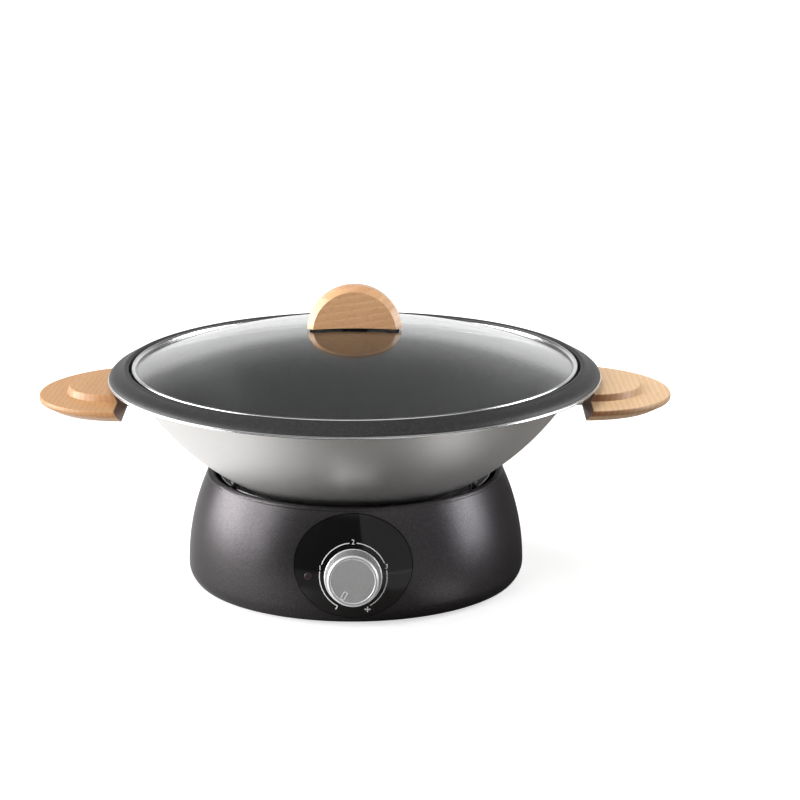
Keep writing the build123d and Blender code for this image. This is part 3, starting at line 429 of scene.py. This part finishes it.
def earth_wire_finish():
    """Green and yellow sleeve: two broad stripes that wander along the lead."""
    finish = Finish("wire_green", Roughness=0.42)
    spot = finish.turned()
    stripe = finish.math("SINE", 2.2 * finish.axis(spot, 2) + 0.35 * finish.axis(spot, 0)).step(-0.15, 0.15)
    finish.put(Base_Color=finish.mix(stripe, shade(0.05, 0.30, 0.06), shade(0.72, 0.62, 0.06)))
    return finish


TURNED = {
    "band_steel": dict(colour=0.94, roughness=0.22),
    "dish_steel": dict(colour=0.30, roughness=0.26, lines=3.0),
    "sensor_metal": dict(colour=0.70, roughness=0.28, lines=4.0),
}
PLAIN = {
    "plate_steel": dict(colour=grey(0.46, -0.02), roughness=0.38, grain=0.08, spread=0.22),
    "zinc_steel": dict(colour=grey(0.62, -0.02), roughness=0.34, grain=0.5),
    "spring_steel": dict(colour=grey(0.50), roughness=0.26, grain=0.6),
    "element_steel": dict(
        colour=shade(0.115, 0.105, 0.095), roughness=0.46, metallic=0.8, grain=0.25, spread=0.30, relief=0.03),
    "nickel_pin": dict(colour=shade(0.70, 0.66, 0.58), roughness=0.24, grain=0.5),
    "brass_tab": dict(colour=shade(0.76, 0.56, 0.24), roughness=0.30, grain=0.4),
    "copper": dict(colour=shade(0.78, 0.42, 0.26), roughness=0.32, grain=0.3),
    "ceramic": dict(colour=shade(0.78, 0.76, 0.70), roughness=0.30, metallic=0.0, grain=0.2, spread=0.05),
    "fuse_body": dict(colour=shade(0.66, 0.64, 0.60), roughness=0.36, metallic=0.7, grain=0.6, spread=0.10),
    "phenolic": dict(
        colour=shade(0.030, 0.022, 0.018), roughness=0.40, metallic=0.0, grain=0.4, spread=0.20, relief=0.01),
    "lamp_glass": dict(colour=shade(0.55, 0.16, 0.06), roughness=0.12, metallic=0.0, grain=0.3, spread=0.10),
    "black_rubber": dict(colour=grey(0.020), roughness=0.75, metallic=0.0, grain=0.5, spread=0.20, relief=0.02),
    "inlet_plastic": dict(colour=grey(0.022), roughness=0.48, metallic=0.0, grain=1.2, spread=0.15, relief=0.02),
    "wire_brown": dict(colour=shade(0.14, 0.055, 0.025), roughness=0.42, metallic=0.0, grain=0.3, spread=0.08),
    "wire_blue": dict(colour=shade(0.03, 0.11, 0.42), roughness=0.42, metallic=0.0, grain=0.3, spread=0.08),
    # Near white on the pointer's frame: a painted highlight for the slot's edges.
    "pointer_steel": dict(colour=grey(0.92), roughness=0.30, metallic=0.0, grain=0.8, spread=0.04),
    "print_white": dict(colour=grey(0.86), roughness=0.45, metallic=0.0, grain=0.8, spread=0.05),
}
# The colour factors paint light and shade: the left handle is written darker, the right handle and the lid knob
# lighter. The browning and end shares add painted shade as well as real colour.
BEECHES = {
    "handle_left": dict(
        name="beech_left", turn=(0.0, 14.0, -86.0), pitch=3.9, grain=(0.07, 1.0, 0.0), darkened_facing=(1.0, 0.0, 0.0),
        browned_and_shaded=0.85, light_and_shade_tint=(0.71, 0.60, 0.45), ends=(1.3, 1.2, 1.1), soaked_and_shaded=0.15, coat=0.25),
    "handle_right": dict(
        name="beech_right", turn=(0.0, -20.0, -91.0), pitch=3.9, grain=(0.0, 1.0, 0.0), darkened_facing=(-1.0, 0.0, 0.0),
        browned_and_shaded=0.85, light_and_shade_tint=(1.11, 1.16, 1.16), ends=(0.50, 0.40, 0.32), soaked_and_shaded=0.95, coat=0.20),
    "lid_knob": dict(
        name="beech_lid_knob", turn=(78.0, 0.0, 9.0), pitch=5.0, grain=(0.99, 0.0, 0.16), darkened_facing=(0.0, 0.0, 1.0),
        browned_and_shaded=0.45, light_and_shade_tint=(1.34, 1.20, 1.06), ends=(1.0, 1.0, 1.0), soaked_and_shaded=0.0, coat=1.0),
}

finishes = {
    "housing": housing_finish(),
    "gloss_black": panel_finish(),
    "lamp_lens": lens_finish(),
    "satin_silver": knob_finish(),
    "pan_silver": pan_finish(),
    "clear_glass": glass_finish(),
    "wire_green": earth_wire_finish(),
}
finishes.update({name: turned_steel(name, **look) for name, look in TURNED.items()})
finishes.update({name: clouded(name, **look) for name, look in PLAIN.items()})
beeches = {node: beech(**look) for node, look in BEECHES.items()}


# ---------------------------------------------------------------- pieces

class Outline:
    """A closed profile in the XZ plane, drawn in millimetres corner by corner and spun about Z."""

    def __init__(self, radius, height, **paint):
        self.mesh = bmesh.new()
        self.paint = {name: self.mesh.verts.layers.float.new(name) for name in paint}
        self.values = paint
        self.first = self.last = self.corner(radius, height)

    def corner(self, radius, height):
        made = self.mesh.verts.new((radius * MM, 0, height * MM))
        for name, layer in self.paint.items():
            made[layer] = self.values[name]
        return made

    def line(self, *corners):
        """Straight on from corner to corner."""
        for radius, height in corners:
            made = self.corner(radius, height)
            self.mesh.edges.new((self.last, made))
            self.last = made

    def arc(self, radius, height, angle, steps):
        """Turns the last corner about a centre; positive angles turn from Z towards X."""
        made = bmesh.ops.spin(
            self.mesh, geom=[self.last], cent=(radius * MM, 0, height * MM), axis=(0, 1, 0),
            angle=radians(angle), steps=steps)
        self.last = made["geom_last"][0]

    def rounded(self, radius, height, size, start, turn, corners):
        """Corners on a small circle about a centre, from an angle above the horizontal and a turn apart."""
        angles = [radians(start + turn * corner) for corner in range(corners)]
        self.line(*[(radius + size * cos(angle), height + size * sin(angle)) for angle in angles])

    def painted(self, **values):
        """What the next corners are painted with."""
        self.values.update(values)

    def spun(self, name):
        """Closes the outline where it doesn't end on the axis, and turns it into a piece."""
        if self.last is not self.first:
            self.mesh.edges.new((self.last, self.first))
        bmesh.ops.spin(
            self.mesh, geom=self.mesh.verts[:] + self.mesh.edges[:], cent=(0, 0, 0), axis=(0, 0, 1),
            angle=2 * pi, steps=RING_STEPS, use_merge=True)
        return finished(name, self.mesh)


def finished(name, mesh):
    """Object from a bmesh: doubles merged, faces outward, smooth but for its sharp edges."""
    bmesh.ops.remove_doubles(mesh, verts=mesh.verts, dist=DOUBLES)
    bmesh.ops.dissolve_degenerate(mesh, edges=mesh.edges, dist=SLIVERS)
    bmesh.ops.recalc_face_normals(mesh, faces=mesh.faces)
    for face in mesh.faces:
        face.smooth = True
    for edge in mesh.edges:
        if len(edge.link_faces) == 2 and edge.calc_face_angle() > radians(SHARP):
            edge.smooth = False
    data = bpy.data.meshes.new(name)
    mesh.to_mesh(data)
    mesh.free()
    made = bpy.data.objects.new(name, data)
    bpy.context.scene.collection.objects.link(made)
    return made


def dress(piece, finish, body, slot, *nodes):
    """Gives a new piece its material and its body, and hides the CAD nodes that it stands for; the slot is not used.
    """
    piece.data.materials.clear()
    piece.data.materials.append(finish.material)
    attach(piece, body)
    if nodes:
        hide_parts(*nodes)
    return piece


def on_ball(ball_r, centre_z, z):
    """Radius at a height of a ball on the axis."""
    return sqrt(ball_r ** 2 - (centre_z - z) ** 2)


def wok_pan():
    """Cast pan: round-bottomed wall, seat for the lid, rolled crest and a sloping flange."""
    under_seat, under_crest, under_flange = SEAT_Z - RIM_SHEET, CREST_Z - RIM_SHEET, FLANGE_Z - FLANGE_EDGE
    low = degrees(asin(PAN_FLOOR_R / PAN_SPHERE_R))
    high = degrees(acos((PAN_CENTRE_Z - under_seat) / PAN_SPHERE_R))
    pan = Outline(0.0, PAN_FLOOR_Z, coat=0.0, bare=0.0)
    pan.line(
        (PAN_FLOOR_R * PAN_FOOT_RING, PAN_FLOOR_Z), (PAN_FLOOR_R - PAN_FOOT_ROUND, PAN_FLOOR_Z),
        (PAN_FLOOR_R, PAN_FLOOR_Z + PAN_FOOT_RISE))
    pan.arc(0.0, PAN_CENTRE_Z, low - high, PAN_ARC_STEPS)
    pan.line(*[(RECESS_R + out, under_seat + up) for out, up in UNDER_SEAT])
    pan.line(*[(RECESS_R + out, under_crest - down) for out, down in UNDER_CREST])
    under_in, under_out = [(FLANGE_R - back, under_flange + up) for back, up in FLANGE_UNDER]
    pan.line(under_in)
    pan.painted(bare=1.0)
    pan.line(under_out)
    pan.rounded(FLANGE_R - FLANGE_LIP, FLANGE_Z - FLANGE_LIP, FLANGE_LIP, start=-75, turn=15, corners=11)
    pan.painted(bare=0.0, coat=1.0)
    width, drop = FLANGE_R - CREST_R, CREST_Z - FLANGE_Z
    pan.line(*[(CREST_R + out * width, CREST_Z - down * drop) for out, down in FLANGE_SLOPE])
    pan.line(*[(RECESS_R + out, CREST_Z - down) for out, down in CREST_ROUND])
    pan.line(*[(RECESS_R - back, SEAT_Z + up) for back, up in SEAT_ROUND])
    inner_r, floor_top = PAN_SPHERE_R - PAN_WALL, PAN_FLOOR_Z + PAN_WALL
    top_r = on_ball(inner_r, PAN_CENTRE_Z, SEAT_Z)
    start = degrees(asin(top_r / inner_r))
    end = degrees(acos((PAN_CENTRE_Z - floor_top) / inner_r))
    pan.line((top_r, SEAT_Z))
    pan.arc(0.0, PAN_CENTRE_Z, start - end, PAN_ARC_STEPS)
    foot_r = on_ball(inner_r, PAN_CENTRE_Z, floor_top)
    pan.line(
        (foot_r - PAN_FOOT_ROUND_INSIDE, floor_top), (foot_r * PAN_FOOT_RING, floor_top), (0.0, floor_top))
    return dress(pan.spun("wok_pan"), finishes["pan_silver"], "pan", "pan_silver", "wok_bowl")


def dome_height(radius, outset=0.0):
    """Height of the glass ball at a radius."""
    return GLASS_CENTRE_Z + sqrt((GLASS_SPHERE_R + outset) ** 2 - radius ** 2)


def lid_dome():
    """Bent glass disc of even thickness with a ground edge and a hole for the knob's screw."""
    low_r, high_r = GLASS_HOLE_R, GLASS_R - GLASS_BEVEL[0]
    inner = GLASS_SPHERE_R - GLASS_THICK

    def lean(radius, ball):
        return degrees(asin(radius / ball))

    dome = Outline(low_r, dome_height(low_r))
    dome.arc(0.0, GLASS_CENTRE_Z, lean(high_r, GLASS_SPHERE_R) - lean(low_r, GLASS_SPHERE_R), GLASS_ARC_STEPS)
    dome.line(
        (GLASS_R, dome_height(GLASS_R) - GLASS_BEVEL[1]),
        (GLASS_R, dome_height(GLASS_R, -GLASS_THICK) + GLASS_BEVEL[1]),
        (high_r, dome_height(high_r, -GLASS_THICK)),
    )
    dome.arc(0.0, GLASS_CENTRE_Z, lean(low_r, inner) - lean(high_r, inner), GLASS_ARC_STEPS)
    return dress(dome.spun("lid_dome"), finishes["clear_glass"], "lid", "clear_glass", "lid_glass")


def lid_band():
    """Rolled steel channel round the glass: outer wall, a rounded roll over the top, a lip and a ledge."""
    inside = LID_R - BAND_SHEET
    lip_in, ledge_in = inside - BAND_LIP, inside - BAND_LIP - BAND_LEDGE
    roll_z = SEAT_Z + BAND_HEIGHT + BAND_ROLL_UP - BAND_ROLL
    lip_z = dome_height(lip_in) + BAND_OVER_GLASS
    ledge_out_z = dome_height(GLASS_R, -GLASS_THICK) - BAND_UNDER_GLASS
    ledge_in_z = dome_height(ledge_in, -GLASS_THICK) - BAND_UNDER_GLASS
    round_in, round_down = BAND_LEDGE_ROUND
    band = Outline(inside, SEAT_Z)
    band.line((LID_R - BAND_FOOT_ROUND, SEAT_Z), (LID_R, SEAT_Z + BAND_FOOT_ROUND))
    band.rounded(LID_R - BAND_ROLL, roll_z, BAND_ROLL, start=0, turn=12, corners=9)
    band.line(*[(LID_R - back, roll_z + up) for back, up in BAND_SHOULDER])
    band.line(*[(lip_in + out, lip_z + up) for out, up in BAND_NOSE])
    band.line(
        (inside, dome_height(inside) + BAND_OVER_GLASS), (inside + BAND_OVER_GLASS, ledge_out_z),
        (ledge_in + round_in, ledge_in_z), (ledge_in, ledge_in_z - round_down),
        (ledge_in + round_in, ledge_in_z - BAND_SHEET), (inside, ledge_out_z - BAND_SHEET),
    )
    return dress(band.spun("lid_band"), finishes["band_steel"], "lid", "band_steel", "lid_rim_band")


def onto_panel(mesh):
    """Bends flat print, drawn about the dial's middle in x and y, onto the curved panel."""
    for vert in mesh.verts:
        across, up, out = vert.co / MM
        height = DIAL_Z + up * cos(DIAL_LEAN)
        radius = WALL_ARC_X + sqrt((WALL_ARC_R + PANEL_PROUD + out) ** 2 - (height - BELLY_Z) ** 2)
        vert.co = Vector((across, -sqrt(radius ** 2 - across ** 2), height)) * MM


def dial_arc(mesh, start, end):
    """Printed arc of the dial's ring."""
    inner, outer = DIAL_RING_R - DIAL_LINE / 2, DIAL_RING_R + DIAL_LINE / 2
    corners = [(inner, PRINT_LOW), (outer, PRINT_LOW), (outer, PRINT_HIGH), (inner, PRINT_HIGH)]
    square = [mesh.verts.new((0, radius * MM, out * MM)) for radius, out in corners]
    cap = mesh.faces.new(square)
    bmesh.ops.rotate(mesh, verts=square, matrix=Matrix.Rotation(-radians(start), 3, "Z"))
    steps = int((end - start) / DIAL_ARC_FACE) + 1
    bmesh.ops.spin(mesh, geom=[cap], cent=(0, 0, 0), axis=(0, 0, -1), angle=radians(end - start), steps=steps)


def dial_bar(mesh, angle, radius, length, width, upright=None):
    """Printed bar that points outward from the dial, or stands at an angle of its own."""
    made = bmesh.ops.create_cube(mesh, size=1.0)["verts"]
    bmesh.ops.scale(mesh, verts=made, vec=Vector((width, length, PRINT_HIGH - PRINT_LOW)) * MM)
    turn = Matrix.Rotation(-radians(angle), 3, "Z")
    own = turn if upright is None else Matrix.Rotation(radians(upright), 3, "Z")
    bmesh.ops.rotate(mesh, verts=made, matrix=own)
    bmesh.ops.translate(mesh, verts=made, vec=turn @ Vector((0, radius, (PRINT_HIGH + PRINT_LOW) / 2)) * MM)


def dial_figure(mesh, text, angle, radius):
    """Upright printed figure with its middle on the dial's ring."""
    letter = bpy.data.curves.new(f"dial_{text}", "FONT")
    letter.body = text
    letter.size = DIAL_FIGURE_SIZE * MM
    letter.extrude = (PRINT_HIGH - PRINT_LOW) / 2 * MM
    letter.offset = DIAL_FIGURE_BOLDER * MM
    holder = bpy.data.objects.new(letter.name, letter)
    bpy.context.scene.collection.objects.link(holder)
    bpy.context.view_layer.update()
    flat = bpy.data.meshes.new_from_object(holder)
    bpy.data.objects.remove(holder)
    known = set(mesh.verts)
    mesh.from_mesh(flat)
    made = [vert for vert in mesh.verts if vert not in known]
    low = Vector(map(min, *[vert.co for vert in made]))
    high = Vector(map(max, *[vert.co for vert in made]))
    turn = radians(angle)
    middle = Vector((radius * sin(turn), radius * cos(turn), (PRINT_HIGH + PRINT_LOW) / 2)) * MM
    bmesh.ops.translate(mesh, verts=made, vec=middle - (low + high) / 2)
    bpy.data.meshes.remove(flat)


def dial_marks():
    """White print on the panel: a broken ring with a minus bar, 1, 2, 3 and a plus."""
    mesh = bmesh.new()
    for start, end in DIAL_ARCS:
        dial_arc(mesh, start, end)
    dial_bar(mesh, *DIAL_MINUS)
    for upright in (0.0, 90.0):
        dial_bar(mesh, *DIAL_PLUS, upright)
    for figure in DIAL_FIGURES:
        dial_figure(mesh, *figure)
    onto_panel(mesh)
    marks = finished("dial_marks", mesh)
    for face in marks.data.polygons:
        face.use_smooth = False
    return dress(marks, finishes["print_white"], "base", "satin_silver")


def pointer_frame():
    """Thin raised frame round the pointer slot of the dial knob, turning with it, painted near white as a painted
    highlight of the slot's edges.
    """
    mesh = bmesh.new()
    half_w, half_l = POINTER_HALF
    low, high = DIAL_FACE_OUT - POINTER_PROUD, DIAL_FACE_OUT + POINTER_PROUD
    rings = []
    for grow, out in ((POINTER_LINE, low), (POINTER_LINE, high), (-POINTER_LINE, high), (-POINTER_LINE, low)):
        corners = [(side * (half_w + grow), along * (half_l + grow))
                   for side, along in ((-1, -1), (1, -1), (1, 1), (-1, 1))]
        rings.append([mesh.verts.new(Vector((x, POINTER_R + y, out)) * MM) for x, y in corners])
    for ring, following in zip(rings, rings[1:] + rings[:1]):
        for here, there in ((0, 1), (1, 2), (2, 3), (3, 0)):
            mesh.faces.new((ring[here], ring[there], following[there], following[here]))
    turn = Matrix.Rotation(-POINTER_TURN, 4, "Z")
    upright = Matrix.Rotation(pi / 2 - DIAL_LEAN, 4, "X")
    place = Matrix.Translation(Vector((0, -DIAL_FACE_R, DIAL_Z)) * MM) @ upright @ turn
    bmesh.ops.transform(mesh, verts=mesh.verts, matrix=place)
    return dress(finished("pointer_frame", mesh), finishes["pointer_steel"], "dial", "satin_silver")


wok_pan()
lid_dome()
lid_band()
dial_marks()
pointer_frame()

for node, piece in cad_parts.items():
    slot = piece.data.materials[0].name.split(".")[0]
    finish = beeches.get(node) or finishes[slot]
    piece.data.materials.clear()
    piece.data.materials.append(finish.material)


# ---------------------------------------------------------------- floor, light and camera, in metres

# The floor. Each pair of edges runs from where a patch ends to where it is full.
FLOOR_RADIUS = 14.0
FLOOR_FACETS = 64
FLOOR_COLOUR = grey(0.60)
# Painted reflection: in mirrors the floor is painted darker and warmer, and darker still ahead of the object as
# painted shade.
FLOOR_COLOUR_IN_MIRRORS = grey(0.165, 0.06)
FLOOR_COLOUR_AHEAD = grey(0.04)
FLOOR_GLOW = 0.65             # what the camera sees by the object, which leaves it a faint shadow
FLOOR_FAR_GLOW = 0.8          # added away from it
FAR_EDGES = (0.45, 1.3)
AHEAD_EDGES = (-0.22, -0.30)  # where the painted shade in front of the object starts, in mirrors only
FLOOR_LEFT = 1.02             # strengths of the painted reflections: patches that glow in mirrors only
LEFT_EDGES, LEFT_SLANT = (-0.08, 0.13), 0.5
FLOOR_RIGHT = 0.03
RIGHT_EDGES, RIGHT_REACH = (0.05, 0.13), (0.25, 0.17)
FLOOR_FRONT = 0.45
FRONT_RIGHT_EDGES, FRONT_LEFT_EDGES, FRONT_LEFT_SHARE = (0.05, 0.12), (-0.03, -0.08), 0.35
# A round patch of floor that glows in mirrors only: a painted reflection on the pan.
FLOOR_CARD = 1.1
CARD_PLACE, CARD_EDGES = (0.145, -0.15), (0.068, 0.02)

# The world. Heights and directions are of the unit vector that a ray takes.
WORLD_LIGHT = 0.12
STUDIO_GREY = 0.05            # what mirrors see where nothing stands
BACKDROP = 0.88
BACKDROP_LOW = 0.23           # below this height the backdrop is full
BACKDROP_CRISP, CRISP_TOP = 0.44, 0.36
BACKDROP_SOFT, SOFT_TOP, SOFT_FALL = 0.48, 0.70, 1.7
BEHIND_EDGES = (0.48, 0.97)
FRONT_PANEL = 0.8
PANEL_HEIGHTS, PANEL_EDGES = (0.45, 0.62), (-0.12, -0.35)
LID_LIGHT = 0.75              # light that comes through the lid into the pan
LID_LIGHT_EVEN, LID_LIGHT_EDGES = 0.35, (-0.3, 0.6)

# The lamps and the camera.
OBJECT_MIDDLE = (0.0, 0.0, 0.12)
STRIP_AIM = (0.0, 0.0, 0.10)
SOFTBOXES = (
    dict(name="left_softbox", place=(-1.45, 0.05, 0.65), size=(1.7, 1.2), power=33.0),
    dict(name="high_softbox", place=(-0.20, 0.30, 1.60), size=(1.1, 1.1), power=16.0, mirrored=False),
    dict(name="right_softbox", place=(1.30, 0.35, 0.90), size=(0.9, 0.9), power=14.0),
    dict(name="left_strip", place=(-1.40, 0.30, 0.35), aim=STRIP_AIM, size=(0.8, 0.7), power=10.0, lights=False),
    dict(name="right_strip", place=(1.45, -0.05, 0.35), aim=STRIP_AIM, size=(0.6, 0.6), power=7.5,
         colour=(0.94, 0.96, 1.0), lights=False),
    dict(name="front_softbox", place=(-0.9, -1.3, 0.9), size=(0.8, 0.8), power=12.0, mirrored=False),
    dict(name="front_card", place=(0.85, -1.35, 0.5), aim=STRIP_AIM, size=(1.6, 1.2), power=2.0, lights=False),
)

CAMERA_TARGET = (0.0324, 0.0, 0.13005)
CAMERA_DISTANCE = 1.9
CAMERA_DROP, CAMERA_ROLL = radians(14.593), radians(-0.12)
LENS, SENSOR = 118.38, 36.0   # millimetres


def sight(nodes):
    """What the camera sees, straight or through clear glass, and what shines in a mirror."""
    path = "ShaderNodeLightPath"
    bounced = nodes.node(path, output="Diffuse Depth") + nodes.node(path, output="Glossy Depth")
    through = nodes.node(path, output="Is Transmission Ray") * nodes.math("LESS_THAN", bounced, 0.5)
    seen = nodes.math("MAXIMUM", nodes.node(path, output="Is Camera Ray"), through)
    return seen, nodes.node(path, output="Is Glossy Ray")


def studio_floor():
    """Pale matt floor. The camera sees it white with a faint shadow; in mirrors it is painted dark, with painted
    reflections that glow.
    """
    mesh = bmesh.new()
    bmesh.ops.create_circle(mesh, cap_ends=True, segments=FLOOR_FACETS, radius=FLOOR_RADIUS)
    floor = finished("floor", mesh)
    finish = Finish("floor", Roughness=0.9, Specular_IOR_Level=0.1)
    seen, mirrored = sight(finish)
    place = finish.place()
    across, deep = finish.axis(place, 0), finish.axis(place, 1)
    radius = (across * across + deep * deep) ** 0.5
    ahead = deep.step(*AHEAD_EDGES)
    left = (1 - ahead) * (LEFT_SLANT * deep - across).step(*LEFT_EDGES)
    right = radius.step(*RIGHT_REACH) * across.step(*RIGHT_EDGES)
    front = ahead * (across.step(*FRONT_RIGHT_EDGES) + FRONT_LEFT_SHARE * across.step(*FRONT_LEFT_EDGES))
    card_x, card_y = across - CARD_PLACE[0], deep - CARD_PLACE[1]
    card = ((card_x * card_x + card_y * card_y) ** 0.5).step(*CARD_EDGES)
    # Painted reflections: patches that glow only in mirrors.
    patches = left * FLOOR_LEFT + right * FLOOR_RIGHT + front * FLOOR_FRONT + card * FLOOR_CARD
    in_mirrors = finish.mix(ahead, FLOOR_COLOUR_IN_MIRRORS, FLOOR_COLOUR_AHEAD)
    finish.put(
        Base_Color=finish.mix(mirrored, FLOOR_COLOUR, in_mirrors),
        Emission_Color=grey(1.0),
        Emission_Strength=seen * (FLOOR_GLOW + FLOOR_FAR_GLOW * radius.step(*FAR_EDGES)) + mirrored * patches,
    )
    floor.data.materials.append(finish.material)


def studio_world():
    """Soft even light: white for the camera and glass, and in mirrors a white backdrop low behind."""
    world = bpy.data.worlds.new("studio")
    world.use_nodes = True
    bpy.context.scene.world = world
    nodes = Nodes(world.node_tree)
    seen, glossy = sight(nodes)
    aim = nodes.node("ShaderNodeTexCoord", output="Generated")
    across, deep, height = (nodes.axis(aim, index) for index in range(3))
    crisp = BACKDROP_CRISP * height.step(CRISP_TOP, BACKDROP_LOW)
    soft = BACKDROP_SOFT * height.step(SOFT_TOP, BACKDROP_LOW) ** SOFT_FALL
    backdrop = BACKDROP * (crisp + soft) * deep.step(*BEHIND_EDGES)
    panel = FRONT_PANEL * height.step(*PANEL_HEIGHTS) * deep.step(*PANEL_EDGES)
    mirrored = STUDIO_GREY + backdrop + panel
    under_lid = LID_LIGHT * (LID_LIGHT_EVEN + (1 - LID_LIGHT_EVEN) * across.step(*LID_LIGHT_EDGES))
    covered = nodes.node("ShaderNodeLightPath", output="Is Transmission Ray")
    light = WORLD_LIGHT * (1 - glossy) + mirrored * glossy + under_lid * covered
    nodes.feed(world.node_tree.nodes["Background"], {
        "Color": grey(1.0), "Strength": nodes.math("MAXIMUM", seen, light)})


def softbox(name, place, size, power, aim=OBJECT_MIDDLE, colour=(1.0, 1.0, 1.0), lights=True, mirrored=True):
    """Rectangular lamp that faces its aim; it may only light, or only be mirrored."""
    lamp = bpy.data.lights.new(name, "AREA")
    lamp.shape = "RECTANGLE"
    lamp.size, lamp.size_y = size
    lamp.energy = power
    lamp.color = colour
    holder = bpy.data.objects.new(name, lamp)
    bpy.context.scene.collection.objects.link(holder)
    holder.location = place
    holder.rotation_euler = (Vector(aim) - Vector(place)).to_track_quat("-Z", "Y").to_euler()
    holder.visible_camera = False
    holder.visible_diffuse = lights
    holder.visible_glossy = mirrored
    holder.visible_transmission = lights and mirrored


def product_camera():
    """Long lens at standing height, looking along +Y."""
    ahead = Vector((0, cos(CAMERA_DROP), -sin(CAMERA_DROP)))
    right, up = Vector((1, 0, 0)), Vector((0, sin(CAMERA_DROP), cos(CAMERA_DROP)))
    level, tilt = cos(CAMERA_ROLL), sin(CAMERA_ROLL)
    turn = Matrix((level * right + tilt * up, level * up - tilt * right, -ahead)).transposed()
    lens = bpy.data.cameras.new("camera")
    lens.sensor_width = SENSOR
    lens.lens = LENS
    camera = bpy.data.objects.new("camera", lens)
    bpy.context.scene.collection.objects.link(camera)
    camera.matrix_world = Matrix.Translation(Vector(CAMERA_TARGET) - CAMERA_DISTANCE * ahead) @ turn.to_4x4()
    bpy.context.scene.camera = camera


studio_floor()
studio_world()
for box in SOFTBOXES:
    softbox(**box)
product_camera()

bpy.context.scene.view_settings.view_transform = "Standard"
